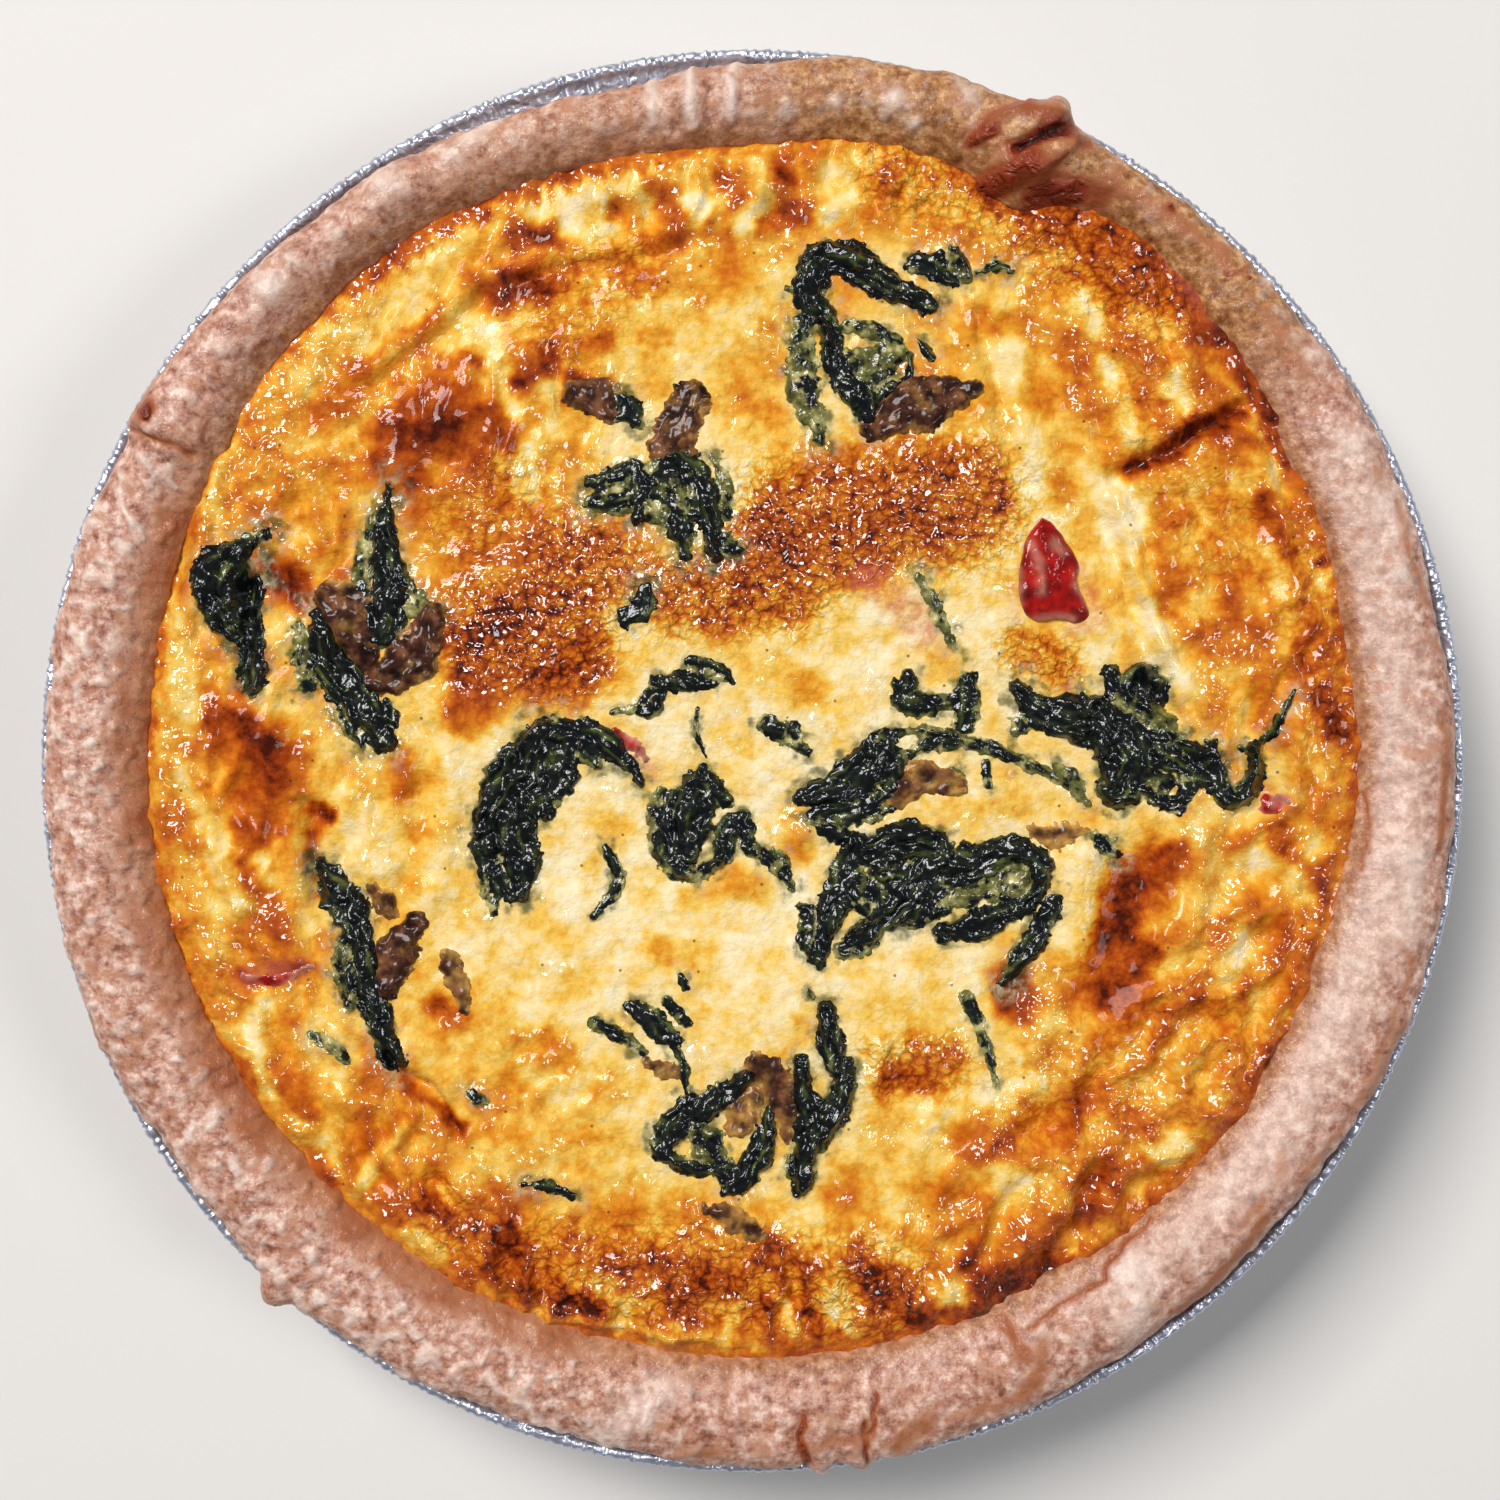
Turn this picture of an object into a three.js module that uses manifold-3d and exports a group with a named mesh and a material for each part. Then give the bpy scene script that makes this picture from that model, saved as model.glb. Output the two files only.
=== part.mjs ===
// A 9-inch quiche with spinach, mushroom and red pepper, baked and served in its own foil pie tin.
//
// Millimetres, +Z up. The origin is the centre of the tin's flat base, where it stands. The pieces are
// the foil tin, the pastry case that lines it, the set egg filling in the case, and the spinach folds,
// mushroom slices and pepper pieces that stand out of the filling. Touching pieces keep GAP between them.
import * as THREE from "three";
import { mergeVertices } from "three/addons/utils/BufferGeometryUtils.js";
import Module from "manifold-3d";

const wasm = await Module();
wasm.setup();

// ---- driving dimensions ----

const GAP = 0.3;

const TIN_RADIUS = 112.5; // outside of the curled lip
const TIN_BASE_RADIUS = 88; // foot of the sloping wall
const TIN_FLANGE_RADIUS = 103.6; // top of the sloping wall
const TIN_FLANGE_HEIGHT = 27.2; // underside of the flange
const FOIL = 0.6;
const LIP_RADIUS = 1.2;
const PLEATS = 40;
const PLEAT_DEPTH = 0.25;
const TIN_STEPS = 2 * PLEATS;

const PASTRY = 4.1; // thickness of the pastry base
const PASTRY_WALL = 3.8; // thickness of the pastry wall, measured level
const PASTRY_CLEARANCE = 0.75; // level room between the pastry wall and the pleated foil
const CROWN_HEIGHT = 34.8; // usual height of the rolled rim

const FILLING_LEVEL = 31.6;
const FILLING_RINGS = [0.955, 0.89, 0.81, 0.72, 0.63, 0.53, 0.43, 0.33, 0.22, 0.11]; // shares of its radius

const STRIP_STEP = 6.2; // distance between the sections of a topping strip
const STRIP_ROOT = 1.4; // how far a strip reaches down before the filling trims it

// The rolled rim, hand shaped: [angle in degrees, outer radius, inner radius, crown height above usual].
const RIM = [
  [0, 110.6, 95.8, 0], [20, 110.4, 96.5, 0.2], [40, 110.4, 99.7, -0.3], [50, 111.0, 102.0, -0.4],
  [57, 110.7, 102.4, -0.2], [65, 111.4, 98.1, 0.8], [73, 112.0, 99.5, 0.4], [80, 111.7, 99.5, 0.2],
  [90, 109.6, 97.5, 0.1], [97, 108.6, 97.2, 0.5], [98.5, 107.7, 97.2, -0.3], [110, 108.6, 98.1, 0],
  [125, 109.5, 99.2, 0.2], [140, 110.6, 98.4, 0.4], [151.5, 111.6, 96.8, 1.1], [153, 110.4, 96.7, -0.3],
  [180, 110.9, 95.8, 0.2], [204, 111.5, 95.6, 0.3], [215, 110.3, 95.1, 0], [228, 111.4, 94.5, 0],
  [240, 110.7, 94.6, 0.3], [256, 109.7, 94.0, 0], [270, 111.0, 94.3, -0.2], [283, 111.4, 94.1, 0],
  [300, 110.0, 93.7, 0.3], [320, 109.8, 94.8, 0.5], [340, 110.9, 94.2, 0.3],
];

// Bumps in the rim: the browned blister, two pinched tips, and the split ends of the roll at the front.
// Each adds `out` to the outer radius, `up` to the crown and `in` to the inner radius.
const RIM_BUMPS = [
  { angle: 65.5, width: 5.5, out: 0, up: 2.6, in: -1.2 },
  { angle: 65, width: 2.6, out: 3.6, up: 0, in: 0 },
  { angle: 228, width: 2.2, out: 3.0, up: 0, in: 0 },
  { angle: 275.5, width: 1.3, out: 1.5, up: 0.3, in: 0 },
  { angle: 278.8, width: 1.6, out: 1.2, up: 0.2, in: 0 },
];

// Swells (+) and hollows (-) in the top of the filling: x, y, half length, half width, turn in degrees
// and height.
const SWELLS = [
  [-50, 52, 15, 12, 0, 1.1], // dark hump at the upper left
  [-30, 27, 25, 15, 25, 0.9], // browned plateau left of the middle
  [19, 39, 23, 13, 10, 1.1], // browned plateau above the middle
  [-18, 73, 26, 9, 20, 0.8], // puffed fold near the back
  [72, 55, 12, 26, 35, 1.1], // browned shoulder at the right back
  [83, 10, 9, 22, 0, 0.8], // browned shoulder at the right
  [56, -60, 24, 12, 40, 1.0], // browned folds at the right front
  [48, -27, 9, 16, -25, -1.3], // smooth dark hollow
  [-5, -80, 30, 9, 5, 0.7], // browned ridge at the front
  [-80, 0, 8, 26, 0, 1.0], // puffed shoulder at the left
  [-68, -52, 12, 14, 30, 0.6], // cream shoulder at the left front
  [0, -15, 42, 24, 0, -0.6], // pale middle
  [44, 62, 6, 30, 10, -0.8], // valley towards the back right
  [-62, -6, 5, 16, 0, -0.8], // valley beside the left shoulder
  [-35, -62, 22, 10, 40, 0.5], // puffed fold at the left front
  [12, -36, 18, 10, -20, 0.5], // swell under the front spinach
];

// Toppings that stand out of the filling. Each node is one or more strips, folded or overlapping: a path
// over the filling, a width and a height above it.
const TOPPINGS = {
  spinach_back: [
    { path: [[27, 72], [22.5, 73.5], [18, 75.5], [13, 78.5]], width: 4.6, height: 2.0 },
    { path: [[17, 76.5], [9.5, 78], [8.5, 73.5], [10, 69.5]], width: 4.4, height: 2.1 },
    { path: [[9, 71.5], [12.5, 65.5], [13.5, 61], [15.5, 55.5]], width: 4.0, height: 2.2 },
    { path: [[12, 67], [7.5, 64], [7, 60], [8.5, 55], [11, 50]], width: 4.2, height: 1.6 },
    { path: [[15, 57], [18.5, 54.5], [22.5, 58], [24, 63]], width: 3.2, height: 1.8 },
  ],
  mushroom_back: [{ path: [[19, 50.5], [24, 54], [30, 57], [36, 58]], width: 7.0, height: 2.2 }],
  spinach_back_small: [{ path: [[25.5, 79], [28, 77], [31.5, 73]], width: 4.8, height: 1.3 }],
  spinach_upper: [
    { path: [[-24.5, 43.5], [-20, 42], [-15, 40]], width: 6.4, height: 1.5 },
    { path: [[-17, 41], [-13.5, 44], [-9, 43.5], [-7, 38], [-6, 34], [-5, 30]], width: 4.4, height: 1.9 },
    { path: [[-15, 41], [-11.5, 38.5], [-8, 34.5]], width: 5.6, height: 1.8 },
  ],
  mushroom_upper: [{ path: [[-9, 56], [-12.5, 53], [-14.5, 49]], width: 5.8, height: 1.8 }],
  spinach_left_curl: [
    { path: [[-77, 35], [-82, 32.5], [-84.5, 29], [-84, 25], [-81.5, 21.5]], width: 5.2, height: 1.8 },
  ],
  spinach_left_rib: [{ path: [[-78.5, 27.5], [-78, 19], [-78, 11]], width: 3.6, height: 1.3 }],
  spinach_left_blade: [
    { path: [[-57, 41], [-56.4, 33], [-57.3, 28], [-60, 20]], width: 6.0, height: 2.2 },
  ],
  spinach_left_fold: [
    { path: [[-67.5, 22], [-66, 15], [-63, 10.5], [-59.5, 3.5]], width: 6.6, height: 2.4 },
    { path: [[-66, 19], [-70, 18], [-69.5, 11]], width: 4.6, height: 1.4 },
  ],
  mushroom_left: [{ path: [[-66.5, 26.5], [-64, 24], [-61, 23]], width: 5.0, height: 2.2 }],
  mushroom_left_low: [
    { path: [[-60, 15.5], [-56, 14], [-50.5, 19.5]], width: 7.0, height: 1.9 },
  ],
  spinach_middle_strip: [
    { path: [[-3.5, 12], [-7.5, 15.5], [-13, 12.5], [-17.5, 8]], width: 3.4, height: 1.2 },
  ],
  spinach_middle_arc: [
    { path: [[-33, 6], [-25, 5.5], [-20.5, 2], [-17.5, -3.5]], width: 4.4, height: 1.9 },
    { path: [[-32, 5], [-36.5, -2.5], [-40, -9.5], [-41.5, -15], [-38.5, -23]], width: 8.0, height: 2.3 },
    { path: [[-30.5, 4], [-30.5, -4], [-34, -10]], width: 5.0, height: 1.6 },
  ],
  spinach_middle: [
    { path: [[-3, -4.5], [-7.5, -2.5], [-9.5, -7.5], [-12.5, -12], [-13, -17.5]], width: 7.0, height: 2.3 },
    { path: [[-13, -16.5], [-8, -17.5], [-5, -13.5], [-2.3, -10], [1, -15.5], [6.5, -20]], width: 3.4, height: 1.6 },
  ],
  spinach_right_small: [
    { path: [[22.5, 12], [26, 9], [30, 10], [34, 11.5], [34, 5]], width: 3.8, height: 1.3 },
  ],
  spinach_right: [
    { path: [[41, 10], [48.5, 7], [54, 6.5], [61.5, 5], [66.5, 0.5], [70, -6]], width: 6.8, height: 2.3 },
    { path: [[55.5, 12.5], [60.5, 13.5], [64, 10], [63, 3]], width: 4.6, height: 1.7 },
    { path: [[53, -2.5], [61.5, -4], [69, -5], [76, -6]], width: 6.6, height: 2.0 },
    { path: [[72, -1], [76, -5], [79, 0], [82.5, 6.5]], width: 4.2, height: 1.5 },
  ],
  spinach_stalk: [
    { path: [[8.5, -8], [14.5, -5.5], [20, -0.5], [26, 2.5]], width: 6.2, height: 1.8 },
    { path: [[22, 3], [30, 4.5], [40.5, 1.5], [48.5, -2.3], [53, -6.5]], width: 2.4, height: 1.2 },
  ],
  mushroom_middle: [{ path: [[22.5, -3.5], [27, -3], [32, -4]], width: 4.8, height: 1.2 }],
  spinach_front_right: [
    { path: [[8, -31.5], [12, -24.5], [15.5, -16.5], [21.5, -13.5], [27, -12]], width: 5.0, height: 2.0 },
    { path: [[10.5, -27], [16, -26], [22, -22.5], [27.5, -17.5]], width: 5.4, height: 2.2 },
    { path: [[25, -19.5], [35.5, -14], [42, -14], [45, -18], [42, -23]], width: 5.8, height: 2.4 },
    { path: [[20, -26], [26, -22], [36, -18.5]], width: 8.0, height: 1.9 },
    { path: [[29.5, -27], [37.5, -25], [43, -20.5]], width: 4.6, height: 1.8 },
  ],
  spinach_front_tip: [{ path: [[47.5, -22.5], [44, -28.5], [39, -35]], width: 3.8, height: 1.5 }],
  spinach_front: [
    { path: [[-9, -55.5], [-13.5, -56], [-14, -60], [-11.5, -63]], width: 4.2, height: 1.7 },
    { path: [[-13, -61], [-6, -63.5], [0, -63.5]], width: 4.2, height: 1.7 },
    { path: [[-13, -56], [-6, -53.5], [-1, -49.5]], width: 3.8, height: 1.6 },
    { path: [[3.5, -53], [1, -58.5], [0.5, -62], [-2, -67.5]], width: 4.0, height: 1.6 },
  ],
  mushroom_front: [{ path: [[-5, -57.5], [-1.5, -55.5]], width: 4.8, height: 1.7 }],
  spinach_front_blades: [
    { path: [[11.5, -38.5], [12.3, -43.5], [14, -49], [13, -54], [10.5, -58.5]], width: 4.4, height: 1.7 },
    { path: [[7.5, -46.5], [9.2, -53.5], [9.2, -58.5], [7, -66]], width: 4.6, height: 2.0 },
  ],
  spinach_left_front: [
    { path: [[-66, -16], [-64, -21], [-61.5, -25], [-62, -31], [-63, -37]], width: 4.6, height: 1.8 },
    { path: [[-60.5, -25], [-59.8, -31], [-59.5, -37], [-57, -47]], width: 4.2, height: 2.0 },
  ],
  mushroom_left_front: [{ path: [[-53, -28.5], [-55.5, -35], [-57, -41.5]], width: 5.0, height: 1.9 }],
};

// Thin leaf ends, stalks and small slices, fused to the filling they lie on.
const FLAKES = [
  { path: [[36, 77], [41, 77.5]], width: 2.2, height: 0.9 },
  { path: [[-20.5, 57.5], [-18, 54]], width: 4.0, height: 1.1 },
  { path: [[-27.5, 58.5], [-23, 55]], width: 5.0, height: 1.2 },
  { path: [[-18, 27.5], [-16, 20.5]], width: 3.4, height: 1.0 },
  { path: [[3, 5.5], [8, 1.5]], width: 3.4, height: 0.9 },
  { path: [[-53, 26], [-49, 23]], width: 3.2, height: 1.1 },
  { path: [[-22.5, -13], [-21, -18], [-25, -24]], width: 1.9, height: 0.9 },
  { path: [[-18.5, -38.5], [-14.5, -42.5], [-10.5, -45.5]], width: 3.2, height: 1.1 },
  { path: [[56.5, -11], [57.5, -15]], width: 2.8, height: 0.9 },
  { path: [[-24.5, -40.5], [-19, -45.5]], width: 2.0, height: 0.8 },
  { path: [[-47.5, -30], [-45, -36.5], [-46, -40]], width: 2.8, height: 1.0 },
  { path: [[-35.5, -66], [-28, -69]], width: 1.8, height: 0.8 },
  { path: [[-7, -70], [0.5, -73.5]], width: 2.0, height: 0.8 },
  { path: [[33.5, -37], [35.5, -42], [38, -51]], width: 1.9, height: 0.8 },
];

// The large piece of red pepper: its outline on the filling and its thickness above it.
const PEPPER_OUTLINE = [[44, 37.5], [50, 33], [53, 25], [48.5, 22.5], [41.5, 23.5], [41.5, 31]];
const PEPPER_HEIGHT = 1.8;
const PEPPER_BEVEL = 0.8;

// ---- shared helpers ----

const degrees = Math.PI / 180;

function evenAngles(steps) {
  return Array.from({ length: steps }, (_, i) => (i * 2 * Math.PI) / steps);
}

// A geometry with shared vertices as a manifold-3d solid.
function solidFrom(positions, triangles) {
  return new wasm.Manifold(
    new wasm.Mesh({
      numProp: 3,
      vertProperties: new Float32Array(positions),
      triVerts: new Uint32Array(triangles),
    }),
  );
}

function solidOfGeometry(geometry) {
  const bare = new THREE.BufferGeometry();
  bare.setAttribute("position", geometry.getAttribute("position"));
  const merged = mergeVertices(bare, 1e-4);
  return solidFrom(merged.attributes.position.array, merged.index.array);
}

function geometryOf(solid) {
  const { vertProperties, triVerts, numProp } = solid.getMesh();
  const geometry = new THREE.BufferGeometry();
  const positions = new Float32Array((vertProperties.length / numProp) * 3);
  for (let i = 0; i < positions.length / 3; i++)
    for (let axis = 0; axis < 3; axis++) positions[3 * i + axis] = vertProperties[numProp * i + axis];
  geometry.setAttribute("position", new THREE.BufferAttribute(positions, 3));
  geometry.setIndex(new THREE.BufferAttribute(new Uint32Array(triVerts), 1));
  geometry.computeVertexNormals();
  return geometry;
}

// A solid of rings from a pole below, outwards, up and back in to a pole on top. Each ring is a function
// that gives [radius, height] at an angle. Where one solid fits inside another, splitBack on the inner one
// splits the facing walls into triangles alike.
function ringSolid(angles, bottomHeight, rings, topHeight, splitBack = false) {
  const positions = [0, 0, bottomHeight];
  for (const ring of rings)
    for (const angle of angles) {
      const [radius, height] = ring(angle);
      positions.push(radius * Math.cos(angle), radius * Math.sin(angle), height);
    }
  positions.push(0, 0, topHeight);
  const count = angles.length;
  const at = (ring, i) => 1 + ring * count + (i % count);
  const last = rings.length - 1;
  const top = 1 + rings.length * count;
  const triangles = [];
  for (let i = 0; i < count; i++) {
    triangles.push(0, at(0, i + 1), at(0, i));
    for (let ring = 0; ring < last; ring++) {
      const [a, b, c, d] = [at(ring, i), at(ring, i + 1), at(ring + 1, i + 1), at(ring + 1, i)];
      if (splitBack) triangles.push(a, b, d, b, c, d);
      else triangles.push(a, b, c, a, c, d);
    }
    triangles.push(at(last, i), at(last, i + 1), top);
  }
  return solidFrom(positions, triangles);
}

// ---- foil tin ----

function tinSolid() {
  const plain = (radius, height) => () => [radius, height];
  const pleated = (radius, height, share) => (angle) => [
    radius + share * PLEAT_DEPTH * Math.cos(PLEATS * angle),
    height,
  ];
  const lipCentre = [TIN_RADIUS - LIP_RADIUS, TIN_FLANGE_HEIGHT + LIP_RADIUS];
  const lip = [-90, -45, 0, 60, 130].map((turn) =>
    plain(
      lipCentre[0] + LIP_RADIUS * Math.cos(turn * degrees),
      lipCentre[1] + LIP_RADIUS * Math.sin(turn * degrees),
    ),
  );
  const outside = [
    plain(TIN_BASE_RADIUS - 1.8, 0),
    plain(TIN_BASE_RADIUS - 0.3, 0.5),
    pleated(TIN_BASE_RADIUS + 0.6, 2.4, 0.5),
    pleated(TIN_FLANGE_RADIUS - 1.2, TIN_FLANGE_HEIGHT - 1.2, 1),
    plain(TIN_FLANGE_RADIUS, TIN_FLANGE_HEIGHT),
  ];
  const inside = [
    plain(TIN_RADIUS - 2 * LIP_RADIUS - 0.5, TIN_FLANGE_HEIGHT + FOIL + 0.2),
    plain(TIN_FLANGE_RADIUS + 0.3, TIN_FLANGE_HEIGHT + FOIL),
    pleated(TIN_FLANGE_RADIUS - 1.7, TIN_FLANGE_HEIGHT - 0.9, 1),
    pleated(TIN_BASE_RADIUS + 0.1, 2.7, 0.5),
    plain(TIN_BASE_RADIUS - 0.7, 1.0),
    plain(TIN_BASE_RADIUS - 2, FOIL),
  ];
  return ringSolid(evenAngles(TIN_STEPS), 0, [...outside, ...lip, ...inside], FOIL);
}

// ---- pastry case ----

// One column of RIM between its hand-set angles, eased so that the rim has no corners.
function rimColumn(angle, column) {
  const turn = (((angle / degrees) % 360) + 360) % 360;
  const next = RIM.findIndex((row) => row[0] > turn);
  const after = next < 0 ? [360, ...RIM[0].slice(1)] : RIM[next];
  const before = next < 0 ? RIM[RIM.length - 1] : RIM[next - 1];
  const t = (turn - before[0]) / (after[0] - before[0]);
  return THREE.MathUtils.lerp(before[column], after[column], t * t * (3 - 2 * t));
}

function rimBump(angle, key) {
  let sum = 0;
  for (const bump of RIM_BUMPS) {
    const away = Math.abs(angle / degrees - bump.angle) / bump.width;
    if (away < 1) sum += bump[key] * (0.5 + 0.5 * Math.cos(Math.PI * away));
  }
  return sum;
}

const rimOuter = (angle) => rimColumn(angle, 1) + rimBump(angle, "out");
const rimInner = (angle) => rimColumn(angle, 2) + rimBump(angle, "in");
const rimCrown = (angle) => CROWN_HEIGHT + rimColumn(angle, 3) + rimBump(angle, "up");

// Every 6 degrees, and closer together across each tip and lapped end of the roll.
const RIM_ANGLES = (() => {
  const extra = [63, 64, 66, 67, 68.5, 97, 98.5, 151.5, 153, 226.5, 228, 229.5, 274.2, 275.5, 276.9, 278.8];
  const every = Array.from({ length: 60 }, (_, i) => 6 * i);
  return [...new Set([...every, ...extra])].sort((a, b) => a - b).map((turn) => turn * degrees);
})();

const wallFootInside = [TIN_BASE_RADIUS - PASTRY - 0.3, FOIL + GAP + PASTRY + 1.2];
const wallTopOutside = TIN_FLANGE_RADIUS - 1.7 - PASTRY_CLEARANCE;
const wallTopInside = (angle) => Math.min(rimInner(angle) - 0.3, wallTopOutside - PASTRY_WALL);

function pastrySolid() {
  const floor = FOIL + GAP;
  const onFlange = TIN_FLANGE_HEIGHT + FOIL + GAP + 0.1;
  const lipClear = TIN_RADIUS - 2 * LIP_RADIUS - 0.5;
  const rings = [
    () => [TIN_BASE_RADIUS - 2.6, floor],
    () => [TIN_BASE_RADIUS - 1.1, floor + 1.3],
    () => [wallTopOutside, TIN_FLANGE_HEIGHT - 0.9],
    () => [TIN_FLANGE_RADIUS - 0.4, onFlange],
    (angle) => [Math.min(lipClear - 0.6, rimOuter(angle) - 1.2), onFlange + 0.15],
    (angle) => [Math.min(lipClear, rimOuter(angle) - 0.4), onFlange + 1.4],
    (angle) => [rimOuter(angle), onFlange + 2.9],
    (angle) => [rimOuter(angle) - 1.4, THREE.MathUtils.lerp(onFlange + 2.9, rimCrown(angle), 0.65)],
    (angle) => [rimOuter(angle) - 4, rimCrown(angle) - 0.2],
    (angle) => [(rimOuter(angle) + rimInner(angle)) / 2, rimCrown(angle)],
    (angle) => [rimInner(angle) + 2.2, rimCrown(angle) - 0.9],
    (angle) => [rimInner(angle), FILLING_LEVEL + 0.3],
    (angle) => [wallTopInside(angle), TIN_FLANGE_HEIGHT - 0.7],
    () => wallFootInside,
    () => [wallFootInside[0] - 1.6, floor + PASTRY],
  ];
  return ringSolid(RIM_ANGLES, floor, rings, floor + PASTRY);
}

// ---- filling ----

function fillingHeight(x, y) {
  let height = FILLING_LEVEL;
  for (const [cx, cy, halfLength, halfWidth, turn, rise] of SWELLS) {
    const c = Math.cos(turn * degrees);
    const s = Math.sin(turn * degrees);
    const along = ((x - cx) * c + (y - cy) * s) / halfLength;
    const across = ((y - cy) * c - (x - cx) * s) / halfWidth;
    height += rise * Math.exp(-(along * along + across * across));
  }
  return height;
}

function fillingSolid() {
  const floor = FOIL + GAP + PASTRY + GAP;
  const side = 0.6;
  const rings = [
    () => [wallFootInside[0] - 2.1, floor],
    () => [wallFootInside[0] - side, wallFootInside[1] + 0.2],
    (angle) => [wallTopInside(angle) - side, TIN_FLANGE_HEIGHT - 0.6],
    (angle) => [rimInner(angle) - side, FILLING_LEVEL],
  ];
  for (const share of FILLING_RINGS)
    rings.push((angle) => {
      const radius = share * (rimInner(angle) - side);
      return [radius, fillingHeight(radius * Math.cos(angle), radius * Math.sin(angle))];
    });
  return ringSolid(RIM_ANGLES, floor, rings, fillingHeight(0, 0), true);
}

// ---- toppings ----

// One strip of leaf or slice, as a six-sided section swept along its path over the filling. It tapers at
// its ends and its ridge wavers. A margin makes it larger all round, to cut room for it out of a neighbour.
function stripSolid({ path, width, height }, margin = 0) {
  const points = path.map(([x, y]) => new THREE.Vector3(x, y, 0));
  const curve = new THREE.CatmullRomCurve3(points);
  const length = curve.getLength();
  const steps = Math.max(3, Math.round(length / STRIP_STEP));
  const positions = [];
  for (let i = 0; i <= steps; i++) {
    const t = i / steps;
    const centre = curve.getPointAt(t);
    const tangent = curve.getTangentAt(t);
    centre.addScaledVector(tangent, margin * (2 * t - 1));
    const half = 0.5 * width * (0.45 + 0.55 * Math.sin(Math.PI * t) ** 0.7) + margin;
    const ground = fillingHeight(centre.x, centre.y);
    const ridge = ground + margin + 0.3 + height * (0.8 + 0.2 * Math.sin(5 * t + path[0][0]));
    const shoulder = ground + margin + 0.3 + 0.5 * height;
    const section = [
      [-half, ground - STRIP_ROOT - margin],
      [half, ground - STRIP_ROOT - margin],
      [half, shoulder],
      [0.35 * half, ridge],
      [-0.45 * half, ridge - 0.15 * height],
      [-half, shoulder],
    ];
    for (const [side, z] of section)
      positions.push(centre.x - side * tangent.y, centre.y + side * tangent.x, z);
  }
  const sides = 6;
  const triangles = [];
  for (let i = 0; i < steps; i++)
    for (let k = 0; k < sides; k++) {
      const a = i * sides + k;
      const b = i * sides + ((k + 1) % sides);
      triangles.push(a, b, b + sides, a, b + sides, a + sides);
    }
  const end = steps * sides;
  for (let k = 1; k + 1 < sides; k++) {
    triangles.push(0, k + 1, k);
    triangles.push(end, end + k, end + k + 1);
  }
  const made = solidFrom(positions, triangles);
  return made.volume() < 0 ? solidFrom(positions, triangles.reverse()) : made;
}

function joined(strips, margin = 0) {
  return strips.map((strip) => stripSolid(strip, margin)).reduce((whole, strip) => whole.add(strip));
}

function largestPiece(solid) {
  return solid.decompose().sort((a, b) => b.volume() - a.volume())[0];
}

function pepperSolid() {
  const shape = new THREE.Shape(PEPPER_OUTLINE.map(([x, y]) => new THREE.Vector2(x, y)));
  const [x, y] = PEPPER_OUTLINE[0];
  const low = fillingHeight(x, y) - 2 * STRIP_ROOT;
  const geometry = new THREE.ExtrudeGeometry(shape, {
    depth: 2 * STRIP_ROOT + PEPPER_HEIGHT - PEPPER_BEVEL,
    bevelThickness: PEPPER_BEVEL,
    bevelSize: PEPPER_BEVEL,
    bevelOffset: -PEPPER_BEVEL,
    bevelSegments: 2,
  });
  return solidOfGeometry(geometry.translate(0, 0, low));
}

// ---- the quiche ----

const COLOURS = {
  tin: { color: 0xc4c6ca, roughness: 0.3, metalness: 1 },
  pastry: { color: 0xd9ab84, roughness: 0.75, metalness: 0 },
  filling: { color: 0xe9b54b, roughness: 0.4, metalness: 0 },
  spinach: { color: 0x1c2a1f, roughness: 0.35, metalness: 0 },
  mushroom: { color: 0x6b4022, roughness: 0.4, metalness: 0 },
  pepper: { color: 0xb3261a, roughness: 0.3, metalness: 0 },
};

const quiche = new THREE.Group();
quiche.name = "quiche";

function addMesh(name, solid, colour) {
  const mesh = new THREE.Mesh(geometryOf(solid), new THREE.MeshStandardMaterial(COLOURS[colour]));
  mesh.name = name;
  quiche.add(mesh);
}

const bareFilling = fillingSolid();
const roomAboveFilling = bareFilling.translate([0, 0, GAP]);

addMesh("foil_tin", tinSolid(), "tin");
addMesh("pastry_case", pastrySolid(), "pastry");
addMesh("egg_filling", bareFilling.add(joined(FLAKES)), "filling");

// Each topping is trimmed by the filling and then by the toppings before it, so that none overlap.
const placed = [];
for (const [name, strips] of Object.entries(TOPPINGS)) {
  let solid = joined(strips).subtract(roomAboveFilling);
  for (const before of placed) solid = solid.subtract(before);
  placed.push(joined(strips, GAP));
  addMesh(name, largestPiece(solid), name.split("_")[0]);
}
addMesh("pepper_large", largestPiece(pepperSolid().subtract(roomAboveFilling)), "pepper");

export default quiche;
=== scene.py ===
"""A 9-inch quiche with spinach, mushroom and red pepper in its foil pie tin, seen from straight above.

The quiche's lengths are in millimetres until mesh_piece turns them into metres. Places are in the CAD frame:
origin at the centre of the tin's base, +Z up, +X right and +Y back. All noise comes from numbered seeds, so
every run gives the same shapes. Features are listed in tables of strokes. A stroke is a path of (x, y)
places with a half width, and what it does there.
"""
import math

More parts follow.
